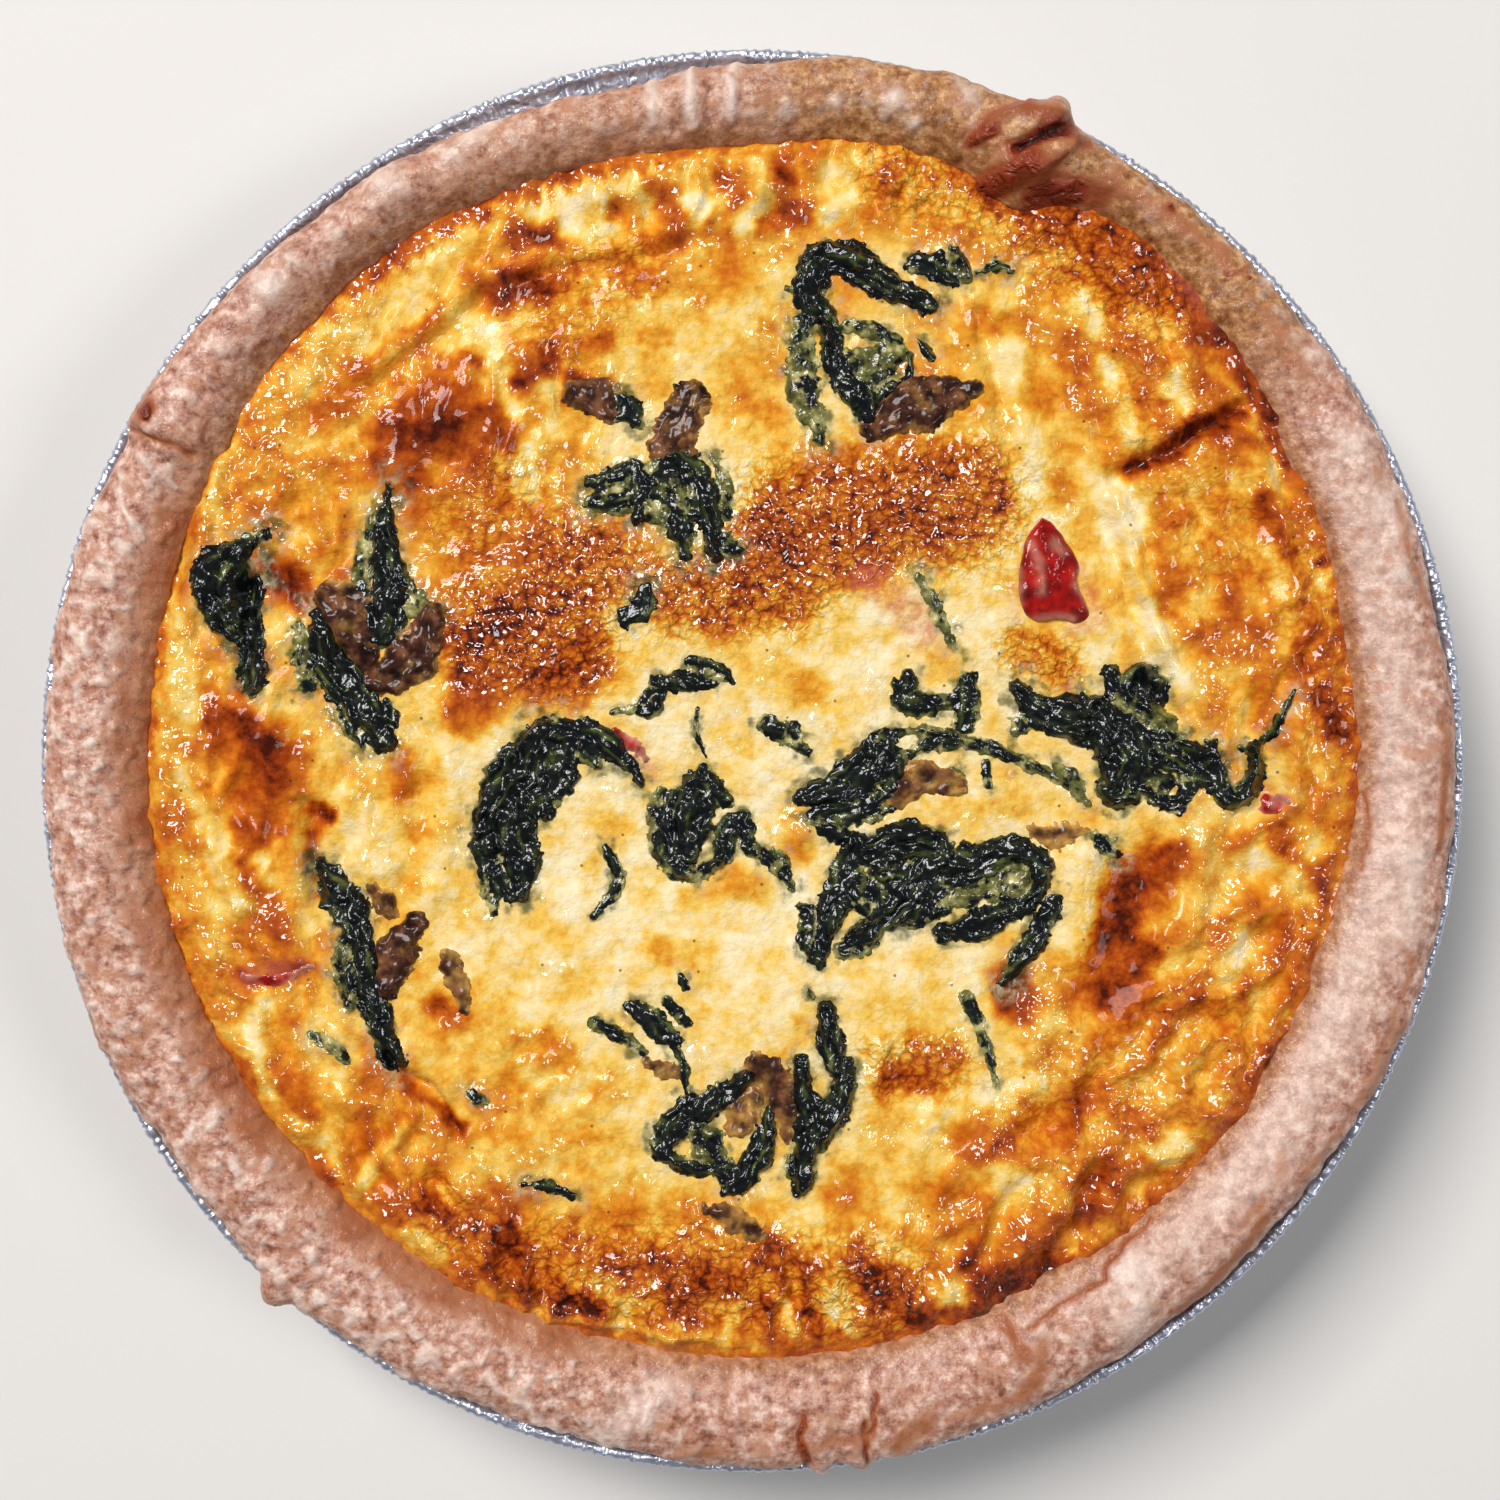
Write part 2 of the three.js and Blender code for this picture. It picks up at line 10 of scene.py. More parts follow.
import bpy
import numpy as np
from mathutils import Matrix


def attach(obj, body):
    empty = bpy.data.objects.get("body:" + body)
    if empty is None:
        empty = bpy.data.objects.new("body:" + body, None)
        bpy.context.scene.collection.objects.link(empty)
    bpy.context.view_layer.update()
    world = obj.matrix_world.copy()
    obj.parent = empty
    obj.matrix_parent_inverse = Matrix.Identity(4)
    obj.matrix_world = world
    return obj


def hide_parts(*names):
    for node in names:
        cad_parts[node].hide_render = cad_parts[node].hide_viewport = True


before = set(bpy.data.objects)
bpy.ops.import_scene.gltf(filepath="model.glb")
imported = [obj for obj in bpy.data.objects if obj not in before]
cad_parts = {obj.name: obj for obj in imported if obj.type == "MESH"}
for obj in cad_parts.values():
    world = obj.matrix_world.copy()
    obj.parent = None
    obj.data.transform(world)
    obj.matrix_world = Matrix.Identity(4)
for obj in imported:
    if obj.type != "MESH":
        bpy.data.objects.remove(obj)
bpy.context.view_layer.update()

MM = 0.001

# ---- driving dimensions, the same as the solids' ----

TIN_RADIUS = 112.5
TIN_BASE_RADIUS = 88.0
TIN_FLANGE_RADIUS = 103.6
TIN_FLANGE_HEIGHT = 27.2
LIP_RADIUS = 1.2
FOIL = 0.6
PASTRY = 4.1
CROWN_HEIGHT = 34.8
FILLING_LEVEL = 31.6
# The usual radius of the filling's edge and of the middle of the roll, on which their noise is laid.
EDGE_RADIUS = 96
ROLL_RADIUS = 104

# The rolled rim: angle in degrees, outer radius, inner radius, crown height above usual.
RIM = np.array([
    [0, 110.6, 95.8, 0], [10, 110.0, 95.4, 0.1], [20, 110.4, 96.5, 0.2], [30, 110.9, 97.3, 0],
    [40, 110.4, 99.7, -0.3], [50, 111.0, 102.0, -0.4], [57, 110.7, 102.4, -0.2], [65, 111.4, 98.1, 0.8],
    [73, 112.0, 99.5, 0.4], [80, 111.7, 99.5, 0.2], [90, 109.6, 97.5, 0.1], [97, 108.6, 97.2, 0.5],
    [98.5, 107.7, 97.2, -0.3], [110, 108.6, 98.1, 0], [125, 109.5, 99.2, 0.2], [140, 110.6, 98.4, 0.4],
    [151.5, 111.6, 96.8, 1.1], [153, 110.4, 96.7, -0.3], [165, 111.0, 96.1, 0], [180, 110.9, 95.8, 0.2],
    [204, 111.5, 95.6, 0.3], [215, 110.3, 95.1, 0], [228, 111.4, 94.5, 0], [240, 110.7, 94.6, 0.3],
    [256, 109.7, 94.0, 0], [270, 111.0, 94.3, -0.2], [283, 111.4, 94.1, 0], [300, 110.0, 93.7, 0.3],
    [320, 109.8, 94.8, 0.5], [340, 110.9, 94.2, 0.3], [360, 110.6, 95.8, 0],
])

# Bumps in the rim: angle, half width in degrees, added to the outer radius, the crown and the inner radius.
RIM_BUMPS = [
    (65.5, 5.5, 0.0, 2.0, -1.2), (65, 2.6, 3.6, 0.0, 0.0), (228, 2.2, 3.0, 0.0, 0.0),
    (275.5, 1.3, 1.5, 0.3, 0.0), (278.8, 1.6, 1.2, 0.2, 0.0),
]


# ---- noise and painting ----

def noise(x, y, z, seed):
    """Smooth gradient noise, about -0.7 to 0.7, with features one unit across."""
    order = np.random.default_rng(seed).permutation(256)
    order = np.concatenate([order, order])
    turns = np.random.default_rng(seed + 1).normal(size=(256, 3))
    turns /= np.linalg.norm(turns, axis=1, keepdims=True)
    cell = [np.floor(v).astype(int) for v in (x, y, z)]
    local = [v - c for v, c in zip((x, y, z), cell)]
    ease = [t * t * t * (t * (t * 6 - 15) + 10) for t in local]
    total = np.zeros_like(local[0])
    for corner in range(8):
        step = [(corner >> axis) & 1 for axis in range(3)]
        hashed = order[(cell[0] + step[0]) & 255]
        hashed = order[hashed + ((cell[1] + step[1]) & 255)]
        hashed = order[hashed + ((cell[2] + step[2]) & 255)]
        slope = turns[hashed]
        value = sum(slope[..., axis] * (local[axis] - step[axis]) for axis in range(3))
        weight = 1.0
        for axis in range(3):
            weight = weight * (ease[axis] if step[axis] else 1 - ease[axis])
        total += weight * value
    return total * 1.4


def fractal(x, y, z, size, seed, octaves):
    """Noise at a size in millimetres and at about halves of it, each half as strong, about -1 to 1."""
    total, scale, strength = 0.0, 1.0 / size, 1.0
    for octave in range(octaves):
        total = total + strength * noise(x * scale, y * scale, z * scale, seed + 7 * octave)
        scale *= 2.03
        strength *= 0.5
    return total


def flat_fractal(x, y, size, seed, octaves, level=0.0):
    """Fractal noise over the plan, cut through at one level."""
    return fractal(x, y, np.full(np.shape(x), float(level)), size, seed, octaves)


def sway(x, y, amount, size, seed, levels=(0.0, 0.0)):
    """How far noise pushes each place along X and along Y, in millimetres."""
    return [amount * flat_fractal(x, y, size, seed + i, 2, level) for i, level in enumerate(levels)]


def round_fractal(angle, radius, size, seed, octaves):
    """Fractal noise along a circle of the given radius."""
    return flat_fractal(radius * np.cos(angle), radius * np.sin(angle), size, seed, octaves)


def turn_at(x, y):
    """Degrees round the axis, from 0 at the right to 360."""
    return np.mod(np.degrees(np.arctan2(y, x)), 360)


def smooth(low, high, value):
    """0 at low and beyond it, 1 at high and beyond it, eased between. Low may be the larger of the two."""
    t = np.clip((value - low) / (high - low), 0, 1)
    return t * t * (3 - 2 * t)


def distance_to_path(x, y, points):
    """The distance of each place from a path."""
    best = np.full(np.shape(x), 1e9)
    for (ax, ay), (bx, by) in zip(points, points[1:] or points):
        dx, dy = bx - ax, by - ay
        length = max(dx * dx + dy * dy, 1e-9)
        t = np.clip(((x - ax) * dx + (y - ay) * dy) / length, 0, 1)
        best = np.minimum(best, np.hypot(x - ax - t * dx, y - ay - t * dy))
    return best


def near_path(x, y, points, margin):
    """Which places are inside the path's box, widened by a margin."""
    low, high = np.min(points, axis=0) - margin, np.max(points, axis=0) + margin
    return (x > low[0]) & (x < high[0]) & (y > low[1]) & (y < high[1])


def paint(field, x, y, strokes):
    """Pulls a field towards a level along each soft brush stroke: (path, half width, level, strength)."""
    field = field.copy()
    for points, width, level, strength in strokes:
        here = near_path(x, y, points, 2.2 * width + 1.5)
        away = distance_to_path(x[here], y[here], points)
        soft = 0.32 * width + 0.4
        cover = strength / (1 + np.exp((away - width) / soft * 2.4))
        field[here] += (level - field[here]) * cover
    return field


def raise_along(field, x, y, strokes):
    """Adds a rounded ridge, or a hollow if negative, along each path: (path, half width, rise)."""
    field = field.copy()
    for points, width, rise in strokes:
        here = near_path(x, y, points, 2.6 * width)
        away = distance_to_path(x[here], y[here], points)
        field[here] += rise * np.exp(-((away / width) ** 2))
    return field


# ---- the browned egg filling ----

# How brown the filling's skin is: path, half width, level from 0 (cream) to 1 (nearly black), strength.
# A few strokes, noted where they stand, are painted shade in creases and painted highlights on ridges.
BROWNING = [
    # the broad tone of each part, first
    ([(-70, 66), (-88, 20), (-86, -30)], 11, 0.5, 0.8),
    ([(-70, -55), (-30, -80), (20, -84)], 10, 0.58, 0.85),
    ([(45, -75), (75, -45)], 13, 0.52, 0.9),
    ([(55, -40), (50, -62)], 12, 0.52, 0.85),
    ([(80, 40), (88, 5), (86, -25)], 8, 0.58, 0.8),
    ([(55, 78), (72, 62), (82, 45)], 8, 0.68, 0.85),
    ([(58, 60), (70, 35), (72, 18)], 11, 0.48, 0.8),
    ([(10, 90), (45, 86)], 8, 0.52, 0.8),
    ([(-30, 86), (-5, 90)], 7, 0.38, 0.7),
    ([(-45, 45), (-38, 25)], 14, 0.6, 0.8),
    ([(-62, 62), (-50, 72)], 9, 0.42, 0.7),
    ([(-14, 74), (-28, 72)], 9, 0.46, 0.8),
    # the browned plateaus, either side of the upper spinach
    ([(-40, 20), (-30, 16)], 8, 0.78, 0.95),
    ([(-44, 8), (-38, 14), (-26, 14)], 4, 0.76, 0.9),
    ([(-36, 28), (-27, 30), (-20, 34)], 6.5, 0.7, 0.9),
    ([(-42, 30), (-38, 38)], 6, 0.58, 0.8),
    ([(-12, 26), (6, 26)], 6, 0.68, 0.95),
    ([(4, 36), (20, 38), (33, 40)], 8, 0.74, 0.95),
    ([(10, 46), (30, 46)], 4, 0.68, 0.9),
    ([(36, 48), (37, 36)], 2.5, 0.6, 0.8),
    ([(-44, 14), (-41, 21), (-36, 25)], 2.6, 0.88, 0.7),
    ([(3, 34), (12, 36), (19, 39)], 3, 0.82, 0.6),
    ([(16, 29), (20, 31)], 2.5, 0.78, 0.7),
    # upper left: dark puff, skin folds and yellow hollows
    ([(-56, 45), (-55, 51), (-50, 55)], 4.2, 0.84, 0.95),
    ([(-50, 54), (-44, 54), (-39, 50)], 3.6, 0.84, 0.95),
    ([(-48, 48), (-44, 46)], 3.0, 0.74, 0.9),
    ([(-47, 62), (-43.5, 62)], 2.2, 0.8, 0.9),
    ([(-52, 63), (-56, 60)], 2.2, 0.55, 0.8),
    ([(-68, 55), (-63, 57), (-60, 60)], 3.2, 0.58, 0.85),
    ([(-62, 50), (-61, 43)], 2.4, 0.5, 0.8),
    ([(-68, 41), (-64, 38)], 3.0, 0.56, 0.8),
    ([(-72, 48), (-68, 47)], 3.0, 0.36, 0.8),
    ([(-80, 48), (-80, 38)], 3.0, 0.5, 0.85),
    # painted highlight: the next pale line runs along a ridge's crest
    ([(-87, 40), (-84, 46), (-80, 51)], 1.5, 0.18, 0.8),
    ([(-60, 66), (-53, 72), (-48, 77)], 3.5, 0.2, 0.7),
    ([(-70, 62), (-66, 66)], 3.0, 0.28, 0.7),
    # painted shadow: the next thin stroke darkens the lower right side of a skin fold
    ([(-62, 61), (-50, 69), (-43, 75)], 1.0, 0.62, 0.8),
    ([(-46, 70), (-40, 63), (-36, 56)], 2.2, 0.14, 0.8),
    ([(-39, 74), (-33, 75)], 3.4, 0.86, 0.95),
    ([(-37, 82), (-31, 83)], 2.4, 0.86, 0.9),
    ([(-38, 46), (-34, 49), (-35, 42)], 1.6, 0.12, 0.8),
    ([(-35, 60), (-32, 61)], 2.2, 0.95, 0.95),
    ([(-33, 63), (-24, 66)], 2.0, 0.74, 0.85),
    ([(-72, 27), (-76, 29)], 3.6, 0.9, 0.95),
    ([(-66, 33), (-64, 30)], 2.0, 0.66, 0.8),
    # back: cream with brown pits between the roll and the first fold
    ([(-33, 88), (-24, 88), (-19, 89.5)], 2.6, 0.12, 0.9),
    ([(-28, 84), (-23, 83)], 2.0, 0.12, 0.9),
    ([(-21.3, 85.5), (-20, 84)], 1.5, 0.78, 0.95),
    ([(-15, 89), (-13, 85)], 2.0, 0.7, 0.9),
    ([(-10, 88), (-8, 86)], 1.6, 0.06, 0.9),
    ([(-5, 92), (-3.5, 88)], 1.9, 0.74, 0.9),
    ([(0, 93), (1.5, 87), (-2, 84.5)], 1.4, 0.05, 0.9),
    ([(5, 95), (6, 91)], 2.0, 0.76, 0.9),
    ([(3, 84), (7, 86)], 2.2, 0.82, 0.9),
    ([(13, 92), (17, 92.5)], 2.4, 0.22, 0.9),
    ([(11, 86), (15, 87)], 2.0, 0.16, 0.85),
    ([(-33, 77), (-22, 79), (-12, 82), (-5, 83)], 1.1, 0.66, 0.8),
    ([(-18, 76), (-14, 74)], 2.6, 0.62, 0.8),
    ([(-4, 76), (-2, 74)], 2.2, 0.56, 0.8),
    ([(-16, 70), (-4, 67), (2, 72)], 3.2, 0.22, 0.85),
    ([(-20, 62), (-10, 61), (-3, 64)], 3.2, 0.26, 0.8),
    ([(2, 66), (4, 62)], 2.6, 0.56, 0.8),
    ([(0, 57), (3, 53)], 3.2, 0.52, 0.8),
    ([(-27, 58.5), (-23.5, 57)], 2.2, 1.0, 0.95),
    ([(-31, 57), (-30, 52)], 1.6, 0.18, 0.7),
    ([(-28, 48), (-27, 53)], 1.8, 0.6, 0.7),
    ([(-4, 50), (-2, 42)], 2.6, 0.16, 0.8),
    ([(-22, 49), (-18, 47)], 2.2, 0.2, 0.8),
    # upper right: brown shoulder and streaked folds
    ([(36, 92), (48, 88)], 4.5, 0.82, 0.95),
    ([(37, 84), (43, 86)], 3.0, 0.34, 0.85),
    ([(45, 84), (56, 78), (62, 73)], 4.0, 0.72, 0.9),
    ([(57, 84), (66, 76), (73, 67)], 3.4, 0.8, 0.95),
    ([(73, 67), (79, 57), (85, 48)], 2.8, 0.92, 0.95),
    ([(71, 62), (76, 57), (79, 51)], 0.9, 0.36, 0.9),
    ([(81, 46), (83, 41)], 1.6, 0.25, 0.85),
    ([(48, 79), (46, 76)], 1.8, 0.24, 0.6),
    ([(44, 77), (50, 72)], 3.0, 0.4, 0.8),
    ([(52, 71), (54, 68)], 2.0, 0.14, 0.85),
    ([(40, 63), (42, 56)], 2.4, 0.16, 0.85),
    ([(37, 67), (45, 68), (50, 64), (53, 55)], 1.9, 0.62, 0.8),
    ([(46, 60), (44, 57)], 2.0, 0.5, 0.8),
    ([(55, 62), (58, 56), (59, 51)], 1.6, 0.14, 0.8),
    ([(57, 66), (60, 63)], 2.0, 0.6, 0.8),
    ([(62, 62), (63, 56)], 1.6, 0.62, 0.8),
    ([(66, 60), (67, 55)], 2.0, 0.16, 0.8),
    ([(60, 70), (65, 65), (69, 58)], 1.2, 0.2, 0.6),
    ([(71, 59), (73, 56)], 2.4, 0.66, 0.85),
    ([(58, 45), (63, 47.5), (70, 51.5), (76, 54)], 1.5, 0.94, 0.95),
    ([(75, 44), (77, 41)], 2.2, 0.22, 0.5),
    ([(80, 40), (84, 32)], 2.0, 0.78, 0.85),
    ([(48, 43), (50, 42)], 2.2, 0.58, 0.8),
    ([(53, 46), (53, 40)], 1.6, 0.34, 0.7),
    ([(42, 50), (44, 42), (46, 38)], 2.8, 0.1, 0.9),
    ([(56, 42), (58, 36), (62, 24), (66, 12)], 3.4, 0.1, 0.9),
    ([(58, 34), (59, 26), (63, 17)], 0.8, 0.36, 0.8),
    ([(36, 66), (39, 56), (40, 48), (43, 44)], 1.0, 0.34, 0.8),
    # right side
    ([(63, 31), (66, 28), (70, 22)], 3.0, 0.64, 0.85),
    ([(75, 30), (75, 24)], 1.8, 0.62, 0.8),
    ([(70, 25), (71, 22)], 1.8, 0.2, 0.8),
    ([(74, 18), (72, 19)], 2.6, 0.6, 0.8),
    ([(75, 13), (76, 9)], 2.4, 0.16, 0.85),
    ([(42, 17), (48, 15)], 3.2, 0.62, 0.85),
    ([(81, 33), (84, 24), (83, 16)], 1.3, 0.2, 0.7),
    ([(86, 22), (88, 16)], 2.4, 0.78, 0.85),
    ([(87, 31), (89, 27)], 1.6, 0.3, 0.8),
    ([(89, 22), (90, 20)], 1.4, 0.3, 0.8),
    ([(90, 9), (92, 5)], 2.4, 0.84, 0.85),
    ([(81, 10), (80, 6)], 2.6, 0.66, 0.8),
    ([(85, 4), (84, -4)], 2.4, 0.26, 0.8),
    ([(90, 2), (90, -3)], 1.6, 0.3, 0.8),
    ([(82, -12), (83, -15)], 2.0, 0.84, 0.85),
    ([(87, -12), (88, -14)], 2.4, 0.22, 0.8),
    ([(90, -18), (88, -23)], 2.6, 0.78, 0.85),
    ([(78, -14), (84, -18), (87, -22)], 2.0, 0.16, 0.8),
    ([(80, -20), (82, -23)], 2.0, 0.48, 0.8),
    ([(77, -10), (74, -20), (72, -27)], 2.6, 0.42, 0.8),
    ([(69, -11), (72, -17), (69, -26)], 1.6, 0.2, 0.7),
    ([(76, -26), (73, -36)], 1.8, 0.16, 0.8),
    ([(86, -26), (84, -34)], 3.0, 0.6, 0.8),
    # the smooth dark dent and what is round it
    ([(63, -15), (59, -22), (57, -30), (56, -35)], 5.4, 0.87, 0.98),
    ([(60, -20), (57, -28)], 3.0, 0.9, 0.8),
    ([(51, -16), (50, -27)], 3.0, 0.12, 0.9),
    ([(60, -10), (67, -8)], 3.2, 0.22, 0.85),
    ([(65, -28), (64, -36)], 2.0, 0.3, 0.7),
    # front right: glossy browned folds
    ([(41, -34), (41, -38)], 3.2, 0.94, 0.97),
    # painted highlights: the weak pale strokes at (46, -40), (49, -43), (69, -46) and (51, -62) lie on the
    # folds' lit slopes
    ([(46, -40), (45, -44)], 1.6, 0.3, 0.6),
    ([(49, -43), (50, -48)], 2.2, 0.3, 0.55),
    ([(41, -47), (36, -52), (44, -51)], 2.0, 0.12, 0.85),
    ([(52, -51), (47, -56), (42, -58)], 2.6, 0.7, 0.9),
    ([(62, -56), (58, -56)], 2.2, 0.64, 0.8),
    ([(60, -41), (72, -40)], 4.0, 0.58, 0.8),
    ([(69, -46), (66, -52)], 2.4, 0.34, 0.5),
    ([(72, -52), (76, -54)], 1.6, 0.3, 0.7),
    ([(62, -61), (67, -58)], 2.0, 0.1, 0.85),
    ([(68, -64), (65, -62)], 1.4, 0.14, 0.8),
    ([(36, -64), (41, -66)], 2.4, 0.16, 0.85),
    ([(51, -62), (49, -67)], 1.8, 0.34, 0.6),
    ([(53, -66), (51, -72), (46, -79)], 2.2, 0.88, 0.9),
    ([(46, -80), (39, -82), (36, -83)], 2.4, 0.99, 0.97),
    ([(38, -74), (41, -71)], 2.4, 0.5, 0.8),
    ([(34, -78), (38, -80)], 1.8, 0.82, 0.7),
    ([(82, -45), (76, -55), (68, -64)], 1.7, 0.74, 0.85),
    ([(58, -66), (64, -67)], 2.4, 0.62, 0.8),
    ([(26, -46), (31, -47)], 3.0, 0.7, 0.9),
    ([(21, -50), (27, -50)], 2.6, 0.8, 0.9),
    ([(19, -44), (18, -49)], 1.6, 0.24, 0.7),
    ([(17, -56), (22, -59)], 4.0, 0.26, 0.85),
    ([(30, -55), (27, -60)], 2.0, 0.26, 0.6),
    ([(12, -66), (16, -67)], 2.4, 0.58, 0.8),
    ([(28, -68), (34, -66)], 3.0, 0.58, 0.8),
    ([(33, -59), (36, -60)], 2.4, 0.72, 0.8),
    # front edge, pebbled brown with cream between
    ([(15, -80), (21, -80)], 3.4, 0.82, 0.9),
    ([(8, -84), (11, -88)], 2.2, 0.82, 0.85),
    ([(26, -88), (31, -87)], 2.4, 0.84, 0.85),
    ([(3, -77), (6, -81)], 2.6, 0.8, 0.85),
    ([(2, -86), (4, -89)], 2.2, 0.78, 0.85),
    ([(-8, -80), (-4, -81)], 2.6, 0.76, 0.85),
    ([(-12, -83), (-11, -87)], 2.4, 0.76, 0.85),
    ([(-24, -76), (-20, -78)], 2.4, 0.8, 0.85),
    ([(-14, -76), (-13, -78)], 2.0, 0.72, 0.8),
    ([(-32, -82), (-27, -85)], 3.0, 0.9, 0.9),
    ([(-40, -75), (-36, -82)], 3.0, 0.9, 0.9),
    ([(-50, -69), (-46, -72)], 3.0, 0.84, 0.9),
    ([(-44, -76), (-42, -79)], 2.2, 0.7, 0.8),
    ([(-56, -74), (-50, -78)], 1.6, 0.24, 0.7),
    ([(13, -79), (12, -84), (15, -89)], 1.6, 0.12, 0.9),
    ([(20, -76), (25, -77)], 1.8, 0.2, 0.85),
    ([(10, -72), (4, -72)], 2.2, 0.26, 0.85),
    ([(30, -82), (33, -83)], 1.6, 0.14, 0.85),
    ([(5, -87), (7, -90)], 1.2, 0.16, 0.8),
    ([(-3, -86), (-4, -89)], 1.5, 0.22, 0.8),
    ([(-12, -89), (-13, -91)], 1.3, 0.12, 0.85),
    ([(-20, -84), (-21, -87)], 2.0, 0.26, 0.8),
    ([(-28, -77), (-27, -79)], 1.4, 0.28, 0.8),
    ([(-26, -81), (-23, -82)], 1.4, 0.34, 0.7),
    ([(-33, -86.5), (-20, -89), (-5, -90)], 0.6, 0.26, 0.8),
    ([(-33, -75), (-18, -73)], 2.6, 0.56, 0.8),
    ([(-10, -73), (-4, -75)], 2.4, 0.54, 0.7),
    # lower left
    ([(-60, -60), (-60, -64)], 2.6, 0.72, 0.85),
    ([(-53, -56), (-58, -61), (-62, -67)], 0.8, 0.2, 0.8),
    ([(-66, -59), (-70, -57)], 2.4, 0.2, 0.8),
    ([(-72, -51), (-69, -53)], 2.8, 0.72, 0.85),
    ([(-76, -53), (-78, -50)], 1.3, 0.2, 0.7),
    ([(-77, -38), (-77, -48)], 1.6, 0.1, 0.85),
    ([(-83, -35), (-82, -38)], 2.4, 0.54, 0.85),
    ([(-73, -39), (-72, -44)], 2.2, 0.56, 0.85),
    ([(-67, -42), (-65, -52)], 2.8, 0.24, 0.8),
    ([(-81, -34), (-76, -34), (-71, -32)], 1.0, 0.92, 0.9),
    ([(-83, -46), (-79, -50)], 1.8, 0.84, 0.8),
    ([(-59, -48), (-54, -51)], 2.4, 0.62, 0.8),
    # painted shade: the narrow dark stroke next lies in a crevice
    ([(-57, -46.5), (-51, -51), (-47, -56), (-45, -60)], 0.8, 0.95, 0.9),
    ([(-52, -54), (-51, -62)], 2.4, 0.38, 0.8),
    ([(-49, -38), (-47, -41)], 2.4, 0.78, 0.9),
    ([(-47, -45), (-42, -46)], 3.0, 0.36, 0.8),
    ([(-54, -44), (-50, -47)], 1.5, 0.22, 0.6),
    ([(-40, -54), (-37, -52)], 2.4, 0.62, 0.8),
    ([(-33, -45), (-30, -47)], 3.0, 0.52, 0.8),
    ([(-44, -62), (-38, -62)], 3.6, 0.22, 0.85),
    ([(-34, -62), (-29, -63)], 3.2, 0.34, 0.8),
    ([(-38, -68), (-37, -71)], 2.2, 0.62, 0.8),
    ([(-68, -63), (-66, -67)], 1.8, 0.8, 0.85),
    # left side: the long puff and its folds, with painted shade in two crevices
    ([(-80, 4), (-76, 1)], 4.8, 0.88, 0.95),
    ([(-77, -4), (-76, -11)], 4.8, 0.76, 0.9),
    ([(-72, 4), (-70, 1), (-70, -4)], 2.0, 0.72, 0.8),
    ([(-79, -18), (-75, -24), (-74, -31)], 3.4, 0.66, 0.8),
    ([(-73, -14), (-71, -15)], 1.5, 0.32, 0.7),
    ([(-76, -16), (-76, -18)], 1.4, 0.2, 0.8),
    # painted highlight: the next pale line runs along a ridge's crest
    ([(-89, -3), (-85, -9), (-83, -16), (-80, -22)], 1.3, 0.16, 0.9),
    ([(-91, -7), (-89, -15)], 2.8, 0.54, 0.8),
    ([(-88, -18), (-87, -21)], 2.4, 0.5, 0.8),
    ([(-92, 3), (-91, 0)], 2.2, 0.2, 0.8),
    ([(-87, 3), (-86, 0)], 2.4, 0.46, 0.8),
    ([(-89, 12), (-87, 7)], 2.4, 0.18, 0.85),
    ([(-91, 25), (-90, 15)], 1.6, 0.16, 0.8),
    ([(-86, 21), (-82, 17)], 2.8, 0.46, 0.8),
    ([(-84, -24), (-85, -28)], 3.0, 0.24, 0.8),
    # painted shade: the next two near-black strokes darken crevices of the puff
    ([(-69.5, -8), (-66.5, -8.5)], 1.2, 1.0, 0.95),
    ([(-69, -10), (-68.5, -16), (-68, -20)], 1.0, 0.86, 0.9),
    ([(-74, 9), (-72, 5)], 2.2, 0.4, 0.8),
    ([(-79.4, 27), (-78.6, 12)], 1.6, 1.0, 0.95),
    ([(-67, 1), (-66, -3)], 2.2, 0.36, 0.8),
    ([(-62, -8), (-60, -14), (-62, -17)], 2.8, 0.18, 0.85),
    ([(-54, 0), (-55, -5)], 2.4, 0.64, 0.9),
    ([(-50, -8), (-53, -15), (-55, -22)], 2.2, 0.4, 0.8),
    ([(-48, 2), (-46, -6)], 2.6, 0.14, 0.85),
    ([(-45, -14), (-47, -22)], 2.4, 0.26, 0.7),
    # the pale middle with a few warm patches
    ([(-22, -22), (-10, -26), (6, -30)], 5.0, 0.1, 0.6),
    ([(4, 14), (8, 11)], 3.2, 0.44, 0.8),
    ([(-4, -18), (2, -20), (-8, -21)], 2.6, 0.46, 0.85),
    ([(-13, -29), (-8, -30)], 2.6, 0.42, 0.8),
    ([(-22, -11), (-24, -15)], 2.6, 0.34, 0.7),
    ([(8, -42), (6, -46)], 2.0, 0.48, 0.7),
    ([(38, -6), (42, -3)], 3.6, 0.4, 0.7),
    ([(30, -8), (24, -9)], 2.8, 0.34, 0.7),
    ([(32, 14), (30, 17)], 2.4, 0.42, 0.7),
    ([(-42, -6), (-44, -18)], 1.5, 0.3, 0.5),
    ([(7.5, -8), (8.5, -13)], 2.4, 0.52, 0.9),
]


